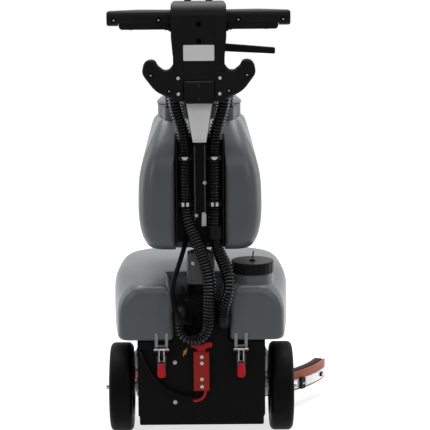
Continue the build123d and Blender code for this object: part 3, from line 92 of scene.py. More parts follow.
# the first colour where the factor is nought, the second where it is one
def mixed(tree, factor, first, second):
    blend = addNode(tree, "ShaderNodeMix", data_type="RGBA")
    tree.links.new(factor, blend.inputs["Factor"])
    for socket, colour in ((blend.inputs[6], first), (blend.inputs[7], second)):
        if isinstance(colour, tuple):
            socket.default_value = (*colour, 1)
        else:
            tree.links.new(colour, socket)
    return blend.outputs[2]


# the normal as it would be with every edge rounded to this width
def roundedEdges(tree, width):
    bevel = addNode(tree, "ShaderNodeBevel", {"Radius": width}, samples=4)
    return bevel.outputs["Normal"]


# how far the rounded normal leans from the face's own: nought on flats, rising along edges
def edgeMask(tree, rounded, low=0.02, high=0.35):
    flat = addNode(tree, "ShaderNodeNewGeometry").outputs["Normal"]
    lean = addNode(tree, "ShaderNodeVectorMath", operation="DOT_PRODUCT")
    tree.links.new(rounded, lean.inputs[0])
    tree.links.new(flat, lean.inputs[1])
    return ranged(tree, lean.outputs["Value"], 1 - low, 1 - high, 0.0, 1.0)


# a bump of this height on the skin, over the normal that lies under it
def raised(tree, skin, height, strength, distance, under):
    bump = addNode(tree, "ShaderNodeBump", {"Strength": strength, "Distance": distance})
    tree.links.new(height, bump.inputs["Height"])
    tree.links.new(under, bump.inputs["Normal"])
    tree.links.new(bump.outputs["Normal"], skin.inputs["Normal"])


moulding = {"patchSize": 9.0, "patchDetail": 4.0, "patchSpan": (0.3, 0.7), "scuffSize": 160.0,
            "scuffSpan": (0.42, 0.62), "scuffMost": 0.8, "wearHighlightLift": 0.004, "smoother": 0.88, "rougher": 1.12,
            "fineDetail": 2.0, "grainStrength": 0.35}


# moulded or coated surface: broad noise mottles colour and roughness, edges are lightened where scuffs fall
# on them, partly as rubbed wear and partly as a painted highlight along the edges, and a fine grain is raised
def mouldedFinish(name, colour, rough, grain, grainDepth, edgeWidth, wearAndHighlight, mottle, specular=0.5):
    finish, tree, skin, place = newFinish(name, colour, rough, specular=specular)
    patches = cloud(tree, place, moulding["patchSize"], moulding["patchDetail"])
    dull = tuple(c * (1 - mottle) for c in colour)
    bright = tuple(c * (1 + mottle) for c in colour)
    body = mixed(tree, ranged(tree, patches, *moulding["patchSpan"], 0, 1), dull, bright)
    edges = roundedEdges(tree, edgeWidth)
    # the edge colour, lighter than the body: rubbed wear and a painted highlight along the edges
    rubbedAndHighlit = tuple(min(1, c * wearAndHighlight + moulding["wearHighlightLift"]) for c in colour)
    scuffs = cloud(tree, place, moulding["scuffSize"], moulding["fineDetail"])
    wearAndHighlightMask = addNode(tree, "ShaderNodeMath", operation="MULTIPLY")
    tree.links.new(edgeMask(tree, edges), wearAndHighlightMask.inputs[0])
    tree.links.new(ranged(tree, scuffs, *moulding["scuffSpan"], 0, moulding["scuffMost"]), wearAndHighlightMask.inputs[1])
    tree.links.new(mixed(tree, wearAndHighlightMask.outputs[0], body, rubbedAndHighlit), skin.inputs["Base Color"])
    roughest = min(1, rough * moulding["rougher"])
    uneven = ranged(tree, patches, *moulding["patchSpan"], rough * moulding["smoother"], roughest)
    tree.links.new(uneven, skin.inputs["Roughness"])
    fineGrain = cloud(tree, place, grain, moulding["fineDetail"])
    raised(tree, skin, fineGrain, moulding["grainStrength"], grainDepth, edges)
    return finish


plating = {"lineDetail": 2.0, "lineSpan": (0.3, 0.7), "lineStrength": 0.3, "lineDepth": 0.00004,
           "stainSize": 35.0, "stainDetail": 4.0, "stainSpan": (0.45, 0.75), "stainShade": 0.75,
           "smoother": 0.75, "rougher": 1.3, "edgeWidth": 0.0005}


# plated or brushed metal: noise stretched into lines gives roughness and bump, a second noise faint stains
def metalFinish(name, colour, rough, lines=(40, 40, 900), metal=1.0):
    finish, tree, skin, place = newFinish(name, colour, rough, metal=metal)
    drawn = cloud(tree, place, 1.0, plating["lineDetail"], stretch=lines)
    stains = cloud(tree, place, plating["stainSize"], plating["stainDetail"])
    dull = tuple(c * plating["stainShade"] for c in colour)
    stained = ranged(tree, stains, *plating["stainSpan"], 0, 1)
    tree.links.new(mixed(tree, stained, colour, dull), skin.inputs["Base Color"])
    smoothest, roughest = rough * plating["smoother"], rough * plating["rougher"]
    uneven = ranged(tree, drawn, *plating["lineSpan"], smoothest, roughest)
    tree.links.new(uneven, skin.inputs["Roughness"])
    edges = roundedEdges(tree, plating["edgeWidth"])
    raised(tree, skin, drawn, plating["lineStrength"], plating["lineDepth"], edges)
    return finish


dusting = {"size": 26.0, "detail": 5.0, "roughness": 0.65, "colourSpan": (0.5, 0.78),
           "roughSpan": (0.4, 0.75), "smoother": 0.9, "rougher": 1.15, "grainDetail": 2.0,
           "grainStrength": 0.3, "edgeWidth": 0.0008}


# rubber: one noise of settled dust changes colour and roughness, over a fine grain
def rubberFinish(name, colour, dust, rough, grain, depth, specular):
    finish, tree, skin, place = newFinish(name, colour, rough, specular=specular)
    dusty = cloud(tree, place, dusting["size"], dusting["detail"], dusting["roughness"])
    settled = ranged(tree, dusty, *dusting["colourSpan"], 0, 1)
    tree.links.new(mixed(tree, settled, colour, dust), skin.inputs["Base Color"])
    roughest = min(1, rough * dusting["rougher"])
    uneven = ranged(tree, dusty, *dusting["roughSpan"], rough * dusting["smoother"], roughest)
    tree.links.new(uneven, skin.inputs["Roughness"])
    fineGrain = cloud(tree, place, grain, dusting["grainDetail"])
    edges = roundedEdges(tree, dusting["edgeWidth"])
    raised(tree, skin, fineGrain, dusting["grainStrength"], depth, edges)
    return finish


latchLook = {"plate": (0.02, 0.02, 0.02), "catch": (0.3, 0.3, 0.3), "edge": (0.9, 0.9, 0.9),
             "plateTop": 0.2330, "catchFoot": 0.2335, "edgeWidth": 0.0009, "grain": 300.0,
             "strength": 0.2, "depth": 0.00004}


# latch fittings: dark base plates below, plated catches above whose rounded edges carry a painted highlight,
# so the colour goes by height
def latchFinish(name, colour, rough, metal):
    finish, tree, skin, place = newFinish(name, colour, rough, metal=metal)
    axes = addNode(tree, "ShaderNodeSeparateXYZ")
    tree.links.new(place, axes.inputs[0])
    isCatch = ranged(tree, axes.outputs["Z"], latchLook["plateTop"], latchLook["catchFoot"], 0, 1)
    edges = roundedEdges(tree, latchLook["edgeWidth"])
    # the near-white edge colour is a painted highlight along the catches' rounded edges
    catchWithPaintedHighlight = mixed(tree, edgeMask(tree, edges), latchLook["catch"], latchLook["edge"])
    tree.links.new(mixed(tree, isCatch, latchLook["plate"], catchWithPaintedHighlight), skin.inputs["Base Color"])
    fineGrain = cloud(tree, place, latchLook["grain"])
    raised(tree, skin, fineGrain, latchLook["strength"], latchLook["depth"], edges)
    return finish


# moulded: colour, roughness, grain size and depth, edge width, wear and painted edge highlight, mottling,
# gloss
tankGrey = mouldedFinish("tankGrey", (0.108, 0.117, 0.123), 0.33, 700.0, 0.00006, 0.004, 1.12, 0.04)
lidGrey = mouldedFinish("lidGrey", (0.16, 0.174, 0.192), 0.34, 700.0, 0.00006, 0.002, 1.12, 0.05)
blackPlastic = mouldedFinish("blackPlastic", (0.0058, 0.0058, 0.006), 0.43,
                             1500.0, 0.0001, 0.0022, 4.0, 0.15, 0.2)
blackSheet = mouldedFinish("blackSheet", (0.0042, 0.0042, 0.0044), 0.5,
                           900.0, 0.00008, 0.0012, 3.0, 0.18, 0.1)
capBlack = mouldedFinish("capBlack", (0.0055, 0.0055, 0.0058), 0.4, 1100.0, 0.00006, 0.001, 2.2, 0.15, 0.16)
rimBlack = mouldedFinish("rimBlack", (0.005, 0.005, 0.0053), 0.45, 900.0, 0.00008, 0.0012, 2.2, 0.2, 0.14)
gripBlack = mouldedFinish("gripBlack", (0.0085, 0.0085, 0.0088), 0.5, 1300.0, 0.0001, 0.002, 2.0, 0.15, 0.16)
buttonGrey = mouldedFinish("buttonGrey", (0.012, 0.0122, 0.0125), 0.9,
                           1200.0, 0.00005, 0.0008, 1.3, 0.06, 0.02)
latchRed = mouldedFinish("latchRed", (0.58, 0.006, 0.014), 0.34, 900.0, 0.00005, 0.0012, 1.2, 0.08, 0.3)
connectorRed = mouldedFinish("connectorRed", (0.36, 0.02, 0.014), 0.45,
                             1000.0, 0.00008, 0.0008, 1.3, 0.12, 0.2)
handleRed = mouldedFinish("handleRed", (0.46, 0.012, 0.012), 0.4, 1000.0, 0.00008, 0.0008, 1.3, 0.12, 0.25)
batteryCase = mouldedFinish("batteryCase", (0.03, 0.031, 0.034), 0.5, 900.0, 0.00008, 0.001, 1.8, 0.12)
boardGreen = mouldedFinish("boardGreen", (0.012, 0.07, 0.03), 0.4, 500.0, 0.00005, 0.0004, 1.3, 0.15)
bristleGrey = mouldedFinish("bristleGrey", (0.05, 0.055, 0.065), 0.5, 2500.0, 0.0001, 0.0003, 1.4, 0.25)
satinPlate = mouldedFinish("satinPlate", (0.8, 0.8, 0.8), 0.38, 800.0, 0.00003, 0.0004, 1.05, 0.05)
greyCoat = mouldedFinish("greyCoat", (0.085, 0.087, 0.09), 0.3, 900.0, 0.00006, 0.001, 1.5, 0.1)
# painted shade: near-black for the shaded insides of sunk holes
holeShade = mouldedFinish("holeShade", (0.0012, 0.0012, 0.0012), 0.8, 900.0, 0.00006, 0.0004, 1.0, 0.1, 0.02)
yellowSleeve = mouldedFinish("yellowSleeve", (0.62, 0.3, 0.006), 0.4, 900.0, 0.00005, 0.0004, 1.2, 0.1)

# metal: colour, roughness, stretch of the lines, metal share
steel = metalFinish("zincSteel", (0.7, 0.7, 0.69), 0.34, metal=0.7)
latchSteel = metalFinish("platedWire", (0.8, 0.8, 0.8), 0.28, metal=0.6)
brightScrew = metalFinish("brightScrew", (0.86, 0.86, 0.85), 0.38, (300, 300, 300), metal=0.35)
leverSteel = metalFinish("leverSteel", (0.16, 0.16, 0.16), 0.35)
motorMetal = metalFinish("motorMetal", (0.3, 0.3, 0.31), 0.4, (200, 200, 400))
aluminium = metalFinish("drawnAluminium", (0.58, 0.59, 0.6), 0.34, (900, 40, 40))
darkScrew = metalFinish("darkScrew", (0.05, 0.05, 0.052), 0.35, (300, 300, 300))
latchFitting = latchFinish("latchFitting", (0.8, 0.8, 0.8), 0.3, 0.6)

# rubber: colour, dust, roughness, grain size and depth, gloss
darkDust = (0.005, 0.005, 0.005)
tyreRubber = rubberFinish("tyreRubber", (0.0028, 0.0028, 0.003), (0.006, 0.0058, 0.0056), 0.55,
                          420.0, 0.00012, 0.1)
hoseBlack = rubberFinish("hoseBlack", (0.0032, 0.0032, 0.0034), darkDust, 0.17, 300.0, 0.00002, 0.5)
cableBlack = rubberFinish("cableBlack", (0.003, 0.003, 0.0032), darkDust, 0.45, 500.0, 0.00004, 0.08)
leadRed = rubberFinish("leadRed", (0.5, 0.014, 0.014), (0.36, 0.014, 0.014), 0.42, 500.0, 0.00004, 0.3)
bladeRubber = rubberFinish("bladeRubber", (0.42, 0.105, 0.066), (0.33, 0.095, 0.066), 0.5, 350.0, 0.0001, 0.3)
sealRubber = rubberFinish("sealRubber", (0.008, 0.008, 0.0085), (0.012, 0.012, 0.012), 0.6,
                          420.0, 0.00012, 0.15)

coolReflectionTint = (0.88, 0.95, 1.0, 1)   # the tanks' gloss is tinted a little blue: a painted cool cast in their reflections
for finish in (tankGrey, lidGrey):
    finish.node_tree.nodes["Principled BSDF"].inputs["Specular Tint"].default_value = coolReflectionTint
print("finishes made")


# which finish each solid of the frame wears
nodeFinish = {
    "chassis_tray": blackSheet, "rear_panel": blackSheet, "tank_deck": blackSheet,
    "column_bracket": blackSheet, "pivot_pin": steel, "stub_axles": steel, "battery_pack": batteryCase,
    "brush_deck": blackPlastic, "brush_motor": motorMetal, "vacuum_motor": motorMetal,
    "solution_tank": tankGrey, "latch_fittings": latchFitting, "battery_socket": connectorRed,
    "hose_ports": blackPlastic, "guide_rail": blackSheet,
    "left_tyre": tyreRubber, "right_tyre": tyreRubber, "left_rim": rimBlack, "right_rim": rimBlack,
    "brush_disc": blackPlastic, "brush_bristles": bristleGrey, "squeegee_carriage": blackSheet,
    "squeegee_frame": blackSheet, "squeegee_blades": bladeRubber, "blade_strap": steel,
    "column_tube": blackSheet, "hose_channel": blackPlastic, "recovery_tank": tankGrey,
    "hose_clips": blackPlastic, "head_rear_shell": blackPlastic, "head_front_shell": blackPlastic,
    "control_board": boardGreen, "head_lower_cover": blackPlastic, "handlebar": aluminium,
    "grips": gripBlack, "cable_hooks": blackPlastic, "recovery_lid": lidGrey, "lid_gasket": sealRubber,
    "float_cage": blackPlastic, "cap_rivet": capBlack, "fill_cap": capBlack, "cap_gasket": sealRubber,
    "left_latch_lever": leverSteel, "right_latch_lever": leverSteel, "left_latch_grip": latchRed,
    "right_latch_grip": latchRed, "left_latch_hook": latchSteel, "right_latch_hook": latchSteel,
    "plug_housing": connectorRed, "plug_handle": handleRed, "left_paddle": gripBlack,
    "right_paddle": gripBlack, "squeegee_lever": blackPlastic, "left_button": buttonGrey,
    "right_button": buttonGrey,
}
for name, finish in nodeFinish.items():
    slots = nodes[name].data.materials
    slots.clear()
    slots.append(finish)
print("solids dressed:", len(nodeFinish))


welding = {"join": 1e-6, "sliver": 1e-7, "crisp": 38}


# quads between neighbouring points of each grid; a wrapped grid joins its last column to its first, the
# points that meet at a pole or seam are welded, and edges sharper than the angle stay crisp. A skin closed by
# caps, each a loop of points, is left as drawn
def skinOf(name, grids, finish, body, smooth=True, caps=()):
    points, faces, start = [], [], 0
    for grid, wrap in grids:
        rows, cols = grid.shape[:2]
        index = start + np.arange(rows * cols).reshape(rows, cols)
        if wrap:
            index = np.concatenate((index, index[:, :1]), axis=1)
        quads = np.stack((index[:-1, :-1], index[:-1, 1:], index[1:, 1:], index[1:, :-1]), axis=-1)
        points.append(grid.reshape(-1, 3))
        faces += quads.reshape(-1, 4).tolist()
        start += rows * cols
    mesh = bpy.data.meshes.new(name)
    mesh.from_pydata(np.concatenate(points), [], faces + list(caps))
    weld = bmesh.new()
    weld.from_mesh(mesh)
    if not caps:
        bmesh.ops.remove_doubles(weld, verts=weld.verts, dist=welding["join"])
        bmesh.ops.dissolve_degenerate(weld, edges=weld.edges, dist=welding["sliver"])
    bmesh.ops.recalc_face_normals(weld, faces=weld.faces)
    weld.to_mesh(mesh)
    weld.free()
    mesh.polygons.foreach_set("use_smooth", [smooth] * len(mesh.polygons))
    if not caps:
        mesh.set_sharp_from_angle(angle=math.radians(welding["crisp"]))
    mesh.materials.append(finish)
    mesh.update()
    piece = bpy.data.objects.new(name, mesh)
    bpy.context.scene.collection.objects.link(piece)
    if body:
        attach(piece, body)
    return piece


# an axis of length one and two directions square to it; a nearly upright axis starts from y instead of z
def sideways(axis, upright=0.9):
    axis = np.array(axis, float) / np.linalg.norm(axis)
    seed = np.array((0, 0, 1.0)) if abs(axis[2]) < upright else np.array((0, 1.0, 0))
    u = np.cross(seed, axis)
    u /= np.linalg.norm(u)
    return axis, u, np.cross(axis, u)


# a profile of (radius, height) pairs turned round an axis, from the foot's centre to the top's centre
def turned(profile, centre, axis, steps=24):
    axis, u, v = sideways(axis)
    turn = np.linspace(0, 2 * math.pi, steps, endpoint=False)
    ring = np.outer(np.cos(turn), u) + np.outer(np.sin(turn), v)
    rows = [np.array(centre) + h * axis + r * ring for r, h in profile]
    return np.array(rows), True


# profile of a round rod between two heights, with its rims set in by the tip
def rod(radius, low, high, tip=0):
    return [(0, low), (radius, low + tip), (radius, high - tip), (0, high)]


toRear, toRight, toTop = (0, -1, 0), (1, 0, 0), (0, 0, 1)


# a flat plate: its outline in two directions, raised by its thickness, with a small softened top edge
def plate(outline, centre, thick, across=toRight, up=toTop, soft=0.0003):
    across, up = np.array(across, float), np.array(up, float)
    out = np.cross(across, up)
    flat = np.array([x * across + y * up for x, y in outline])
    middle = flat.mean(axis=0)
    inner = middle + (flat - middle) * (1 - soft / np.abs(flat - middle).max())
    rows = [np.tile(middle, (len(flat), 1)), flat, flat + out * (thick - soft), inner + out * thick,
            np.tile(middle + out * thick, (len(flat), 1))]
    return np.array(rows) + np.array(centre), True


# outline of a rectangle between two sides and two heights
def rectangle(x0, x1, low, high):
    return [(x0, low), (x1, low), (x1, high), (x0, high)]


# outline of a box of this half-width and half-height with four corner arcs of radius r; another half-width at
# the foot tapers it
def softBox(half, tall, r, foot=None, steps=5):
    foot = foot or half
    corners = [(half, tall, 0), (-half, tall, 90), (-foot, -tall, 180), (foot, -tall, 270)]
    points = []
    for x, y, start in corners:
        cx = x - math.copysign(r, x)
        cy = y - math.copysign(r, y)
        for k in range(steps + 1):
            turn = math.radians(start + 90 * k / steps)
            points.append((cx + r * math.cos(turn), cy + r * math.sin(turn)))
    return points


screwShape = {"sunk": 0.4, "washerTop": 0.0008, "washerLip": 0.001,
              "crown": [(1, 0.45), (0.9, 0.75), (0.66, 0.95), (0.45, 1), (0.405, 0.45), (0, 0.4)]}


# screw or bolt head: a skirt, then a domed crown and its sunk socket as shares of the radius and height
def screwHead(centre, axis, radius, height, washer=0.0):
    foot = -height * screwShape["sunk"]
    skirt = [(0, foot), (washer or radius, foot)]
    if washer:
        skirt += [(washer, screwShape["washerTop"]), (radius, screwShape["washerLip"])]
    crown = [(radius * r, height * h) for r, h in screwShape["crown"]]
    return turned(skirt + crown, centre, axis)


# millimetres to metres
def mm(*values):
    return tuple(v / 1000 for v in values)


# the smooth line of a hose or cable: a NURBS spline with the route's points as its control points
def routeLine(name, route, detail=24):
    line = bpy.data.curves.new(name, "CURVE")
    line.dimensions = "3D"
    line.resolution_u = detail
    spline = line.splines.new("NURBS")
    spline.points.add(len(route) - 1)
    for point, place in zip(spline.points, route):
        point.co = (*mm(*place), 1)
    spline.order_u = 3
    spline.use_endpoint_u = True
    holder = bpy.data.objects.new(name, line)
    bpy.context.scene.collection.objects.link(holder)
    flat = bpy.data.meshes.new_from_object(holder)
    path = np.empty(len(flat.vertices) * 3)
    flat.vertices.foreach_get("co", path)
    bpy.data.objects.remove(holder)
    bpy.data.meshes.remove(flat)
    return path.reshape(-1, 3)


# the steps from point to point, added up
def lengthOf(path):
    return float(np.linalg.norm(np.diff(path, axis=0), axis=1).sum())


# a tube round a line: rings square to it, carried on without twist, with a radius that goes by the distance
def tubeAlong(path, radiusAt, rings, around):
    run = np.concatenate(([0], np.cumsum(np.linalg.norm(np.diff(path, axis=0), axis=1))))
    along = np.linspace(0, run[-1], rings)
    spots = np.stack([np.interp(along, run, path[:, k]) for k in range(3)], axis=1)
    heading = np.gradient(spots, axis=0)
    heading /= np.linalg.norm(heading, axis=1)[:, None]
    side = sideways(heading[0])[1]
    turn = np.linspace(0, 2 * math.pi, around, endpoint=False)
    rows = []
    for spot, ahead, s in zip(spots, heading, along):
        side = side - ahead * np.dot(side, ahead)
        side /= np.linalg.norm(side)
        other = np.cross(ahead, side)
        rows.append(spot + radiusAt(s) * (np.outer(np.cos(turn), side) + np.outer(np.sin(turn), other)))
    rows = [np.tile(spots[0], (around, 1))] + rows + [np.tile(spots[-1], (around, 1))]
    return np.array(rows), True


hose = {"crest": 0.0156, "valley": 0.0117, "pitch": 0.0072, "flatten": 0.75, "stepsPerRib": 8, "around": 28}
upperRoute = [(40, -88, 742), (52, -88, 776), (59, -88, 816.6), (62, -64.6, 840), (64, -31.4, 840),
              (66, -8, 816.6), (66, -8, 778)]
leftHoseRoute = [(-46, -134, 298), (-48, -136, 277), (-31, -143, 260), (-2, -145, 259), (16, -145, 284),
                 (18.5, -145, 326), (21, -141, 374), (17, -131, 412), (4, -117, 450), (-12, -106, 488),
                 (-27, -97, 522), (-33, -89, 556), (-33.5, -88, 591), (-33.5, -88, 706)]
leftHoseRoute += [(-x, y, z) for x, y, z in upperRoute]
rightHoseRoute = [(50.5, -134, 312), (50.5, -134, 328), (58, -139, 350), (65, -141, 378), (63, -131, 406),
                  (53, -112, 434), (39, -94, 458), (33.5, -88, 486), (33.5, -88, 530), (33.5, -88, 706)]
rightHoseRoute += upperRoute


# rounded ribs: the radius swells as a flattened sine of the distance along the hose
def ribbedHose(name, route, node):
    path = routeLine(name + "Line", route)
    length = lengthOf(path)
    ribs = round(length / hose["pitch"])
    depth = hose["crest"] - hose["valley"]

    def radiusAt(s):
        wave = 0.5 - 0.5 * math.cos(2 * math.pi * ribs * s / length)
        return hose["valley"] + depth * wave ** hose["flatten"]

    grid = tubeAlong(path, radiusAt, ribs * hose["stepsPerRib"] + 1, hose["around"])
    piece = skinOf(name, [grid], hoseBlack, None)
    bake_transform(piece)
    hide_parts(node)


ribbedHose("leftRibbedHose", leftHoseRoute, "left_hose")
ribbedHose("rightRibbedHose", rightHoseRoute, "right_hose")

cableAround = 18
harness = {"diameter": 0.011, "rings": 120, "finish": cableBlack, "slot": "cable_black",
           "route": [(-15, -64, 516), (-29, -64, 514), (-33, -84, 476), (-46, -110, 438), (-59, -131, 404),
                     (-66, -142, 376), (-63, -151, 346), (-52, -157, 318), (-33, -154, 299), (-14, -136, 297),
                     (-14, -110, 297)]}
blackLead = {"diameter": 0.008, "rings": 90, "finish": cableBlack, "slot": "cable_black",
             "route": [(-138, -110, 222), (-138, -122, 222), (-126, -122, 192), (-108, -122, 162),
                       (-82, -122, 134), (-50, -122, 119), (-26, -121, 113), (-9, -118.5, 116),
                       (-9, -118.5, 132)]}
redLead = {"diameter": 0.007, "rings": 50, "finish": leadRed, "slot": "lead_red",
           "route": [(9, -118.5, 132), (9, -118.5, 121), (0, -121, 110), (-18, -121, 105), (-18, -110, 105)]}


# a plain cable: a tube of one radius along its route; one that runs from one body to another is left fixed in
# place, tied to neither
def smoothCable(name, cable, node, bodies):
    path = routeLine(name + "Line", cable["route"])
    grid = tubeAlong(path, lambda s: cable["diameter"] / 2, cable["rings"], cableAround)
    piece = skinOf(name, [grid], cable["finish"], None)
    if len(bodies) == 2:
        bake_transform(piece)
    else:
        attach(piece, bodies[0])
    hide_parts(node)


smoothCable("harnessCable", harness, "harness_cable", ["base", "column"])
smoothCable("blackBatteryLead", blackLead, "black_lead", ["base"])
smoothCable("redBatteryLead", redLead, "red_lead", ["base"])
print("hoses and cables laid")


# a piece of equal screw heads that face the rear, one at each place in millimetres
def screwSet(name, screw, places, finish, body):
    washer = screw.get("washer", 0.0)
    heads = [screwHead(mm(*p), toRear, screw["radius"], screw["height"], washer) for p in places]
    piece = skinOf(name, heads, finish, body)


# a screw's (x, z) places, each at its own y
def inLine(screw):
    return [(x, screw["y"], z) for x, z in screw["places"]]


# the same places, mirrored to both sides of the middle
def bothSides(screw):
    return [(s * x, screw["y"], z) for x, z in screw["places"] for s in (-1, 1)]


headScrew = {"radius": 0.0036, "height": 0.0024, "y": -138, "places": [(46.5, 856), (46, 821)]}
screwSet("headScrews", headScrew, bothSides(headScrew), brightScrew, "column")
# on the cable hooks
hornScrew = {"radius": 0.0024, "height": 0.0018, "y": -133, "places": [(107, 862), (66.5, 827)]}
screwSet("hornScrews", hornScrew, bothSides(hornScrew), brightScrew, "column")
gripScrew = {"radius": 0.0022, "height": 0.0016, "y": -101, "places": [(189, 983), (89, 983)]}
screwSet("gripScrews", gripScrew, bothSides(gripScrew), brightScrew, "column")
coverScrew = {"radius": 0.0032, "height": 0.0014, "y": -138, "places": [(0, 840), (0, 809)]}
screwSet("coverScrews", coverScrew, inLine(coverScrew), darkScrew, "column")
panelBolt = {"radius": 0.0034, "height": 0.0028, "washer": 0.0048, "y": -110,
             "places": [(-61.6, 196), (-61.6, 100)]}
screwSet("panelBolts", panelBolt, inLine(panelBolt), steel, "base")
columnScrew = {"radius": 0.0044, "height": 0.0026,
               "places": [(-9, -85, 537), (11, -85, 613), (-17, -94.5, 427)]}
screwSet("columnScrews", columnScrew, columnScrew["places"], brightScrew, "column")

# two screws on each half of the battery connector, with a raised seat round each
plugScrew = {"radius": 0.0032, "height": 0.0018, "washer": 0.0042, "y": -127, "places": [(1, 213), (1, 198)]}
screwSet("plugScrews", plugScrew, inLine(plugScrew), brightScrew, "battery_plug")
socketScrew = dict(plugScrew, places=[(1, 160), (1, 142)])
screwSet("socketScrews", socketScrew, inLine(socketScrew), brightScrew, "base")
print("screws set")

# bare plate on the head
headPlate = {"half": 0.0345, "y": -0.133, "z": 0.9115, "tall": 0.0175, "corner": 0.0025, "thick": 0.0009}
shape = softBox(headPlate["half"], headPlate["tall"], headPlate["corner"])
grid = plate(shape, (0, headPlate["y"], headPlate["z"]), headPlate["thick"])
piece = skinOf("barePlate", [grid], satinPlate, "column")

# tapered bare plate on the neck, with a thicker lip along its foot
neckPlate = {"top": 0.0295, "foot": 0.0155, "y": -0.104, "z0": 0.7085, "z1": 0.8005, "corner": 0.002,
             "thick": 0.0008, "lipThick": 0.004, "lipTall": 0.0016, "lipCorner": 0.0012, "lipRise": 0.0018}
middle = (neckPlate["z0"] + neckPlate["z1"]) / 2
reach = (neckPlate["z1"] - neckPlate["z0"]) / 2
shape = softBox(neckPlate["top"], reach, neckPlate["corner"], neckPlate["foot"])
lip = softBox(neckPlate["foot"], neckPlate["lipTall"], neckPlate["lipCorner"])
lipSpot = (0, neckPlate["y"], neckPlate["z0"] + neckPlate["lipRise"])
grids = [plate(shape, (0, neckPlate["y"], middle), neckPlate["thick"]),
         plate(lip, lipSpot, neckPlate["lipThick"])]
piece = skinOf("neckPlate", grids, satinPlate, "column")

# yellow tag on the panel: two slanted strips side by side, and a short tie across them
cableTag = {"x": -37.5, "y": -110, "z": 221, "wide": 0.0012, "tall": 0.0075, "corner": 0.0008, "lean": 0.3,
            "thick": 0.0024, "step": 0.0022, "stagger": 0.002, "tieWide": 0.0046, "tieTall": 0.0012,
            "tieRise": 1, "tieLean": 0.2, "tieThick": 0.0016}
shape = softBox(cableTag["wide"], cableTag["tall"], cableTag["corner"])
shape = [(x + cableTag["lean"] * y, y) for x, y in shape]
spot = np.array(mm(cableTag["x"], cableTag["y"], cableTag["z"]))
apart = np.array((cableTag["step"], 0, cableTag["stagger"]))
strips = [plate(shape, spot + side * apart, cableTag["thick"]) for side in (-1, 1)]
shape = softBox(cableTag["tieWide"], cableTag["tieTall"], cableTag["corner"])
strips.append(plate(shape, mm(cableTag["x"], cableTag["y"], cableTag["z"] + cableTag["tieRise"]),
                    cableTag["tieThick"], (1, 0, cableTag["tieLean"]), (-cableTag["tieLean"], 0, 1)))
piece = skinOf("cableTag", strips, yellowSleeve, "base")

# clamps that hold the steel strap to the blade, at bearings round the squeegee's arc
squeegeeArc = {"centre": (0.04247, 0.38786), "radius": 0.300, "z": 0.0585}
longClamp = {"wide": 0.0085, "tall": 0.0145, "thick": 0.0075}
shortClamp = {"wide": 0.006, "tall": 0.0055, "thick": 0.004}
clamping = {"corner": 0.002, "soft": 0.0012, "boltRadius": 0.0028, "boltHeight": 0.002,
            "places": [(-45.5, longClamp), (-27.5, shortClamp), (-119.0, longClamp), (-137.0, shortClamp)]}
blocks, bolts = [], []
for bearing, clamp in clamping["places"]:
    turn = math.radians(bearing)
    out = np.array((math.cos(turn), math.sin(turn), 0))
    across = (-math.sin(turn), math.cos(turn), 0)
    spot = np.array((*squeegeeArc["centre"], squeegeeArc["z"])) + squeegeeArc["radius"] * out
    shape = softBox(clamp["wide"], clamp["tall"], clamping["corner"])
    blocks.append(plate(shape, spot, clamp["thick"], across, soft=clamping["soft"]))
    bolts.append(screwHead(spot + out * clamp["thick"], out, clamping["boltRadius"], clamping["boltHeight"]))
piece = skinOf("strapClamps", blocks, blackPlastic, "squeegee")
piece = skinOf("clampBolts", bolts, brightScrew, "squeegee")

# spring tabs of the hose clips: one at each upper clip, two ears at each lower clip
clipTab = {"x": 33.5, "y": -105.8, "upper": 672, "lower": 566, "wide": 0.0075, "taper": 0.6, "tall": 0.0035,
           "corner": 0.002, "thick": 0.0022, "ear": 0.003, "earTall": 0.0045, "earCorner": 0.001,
           "earApart": 5.2, "earIn": 1}
shape = softBox(clipTab["wide"], clipTab["tall"], clipTab["corner"], clipTab["wide"] * clipTab["taper"])
spots = [(s * clipTab["x"], clipTab["y"], clipTab["upper"]) for s in (-1, 1)]
tabs = [plate(shape, mm(*p), clipTab["thick"]) for p in spots]
shape = softBox(clipTab["ear"], clipTab["earTall"], clipTab["earCorner"])
spots = [(s * clipTab["x"] + d * clipTab["earApart"], clipTab["y"] + clipTab["earIn"], clipTab["lower"])
         for s in (-1, 1) for d in (-1, 1)]
tabs += [plate(shape, mm(*p), clipTab["thick"]) for p in spots]
piece = skinOf("clipTabs", tabs, brightScrew, "column")

# rubber stop on the bracket's left cheek: a turned knob with a waist, pointing outwards
rubberStop = {"centre": mm(-30, -88, 360), "axis": (-1, 0, 0), "steps": 32,
              "profile": [(0, -0.001), (0.011, -0.001), (0.011, 0.003), (0.0085, 0.006), (0.0085, 0.010),
                          (0.0125, 0.013), (0.013, 0.017), (0.0115, 0.0195), (0.007, 0.021), (0, 0.0214)]}
grid = turned(rubberStop["profile"], rubberStop["centre"], rubberStop["axis"], rubberStop["steps"])
piece = skinOf("rubberStop", [grid], sealRubber, "base")

# painted shade: near-black discs stand for the shaded insides of two sunk holes in the head's rear, and of
# the well round each hook and grip screw
headHole = {"radius": 0.0054, "sunk": -0.0004, "proud": 0.0003,
            "places": [(0, -133.1, 974), (0, -133.1, 936.5)]}
well = rod(headHole["radius"], headHole["sunk"], headHole["proud"])
spots = headHole["places"] + bothSides(hornScrew) + bothSides(gripScrew)
piece = skinOf("headHoleShades", [turned(well, mm(*p), toRear) for p in spots], holeShade, "column")

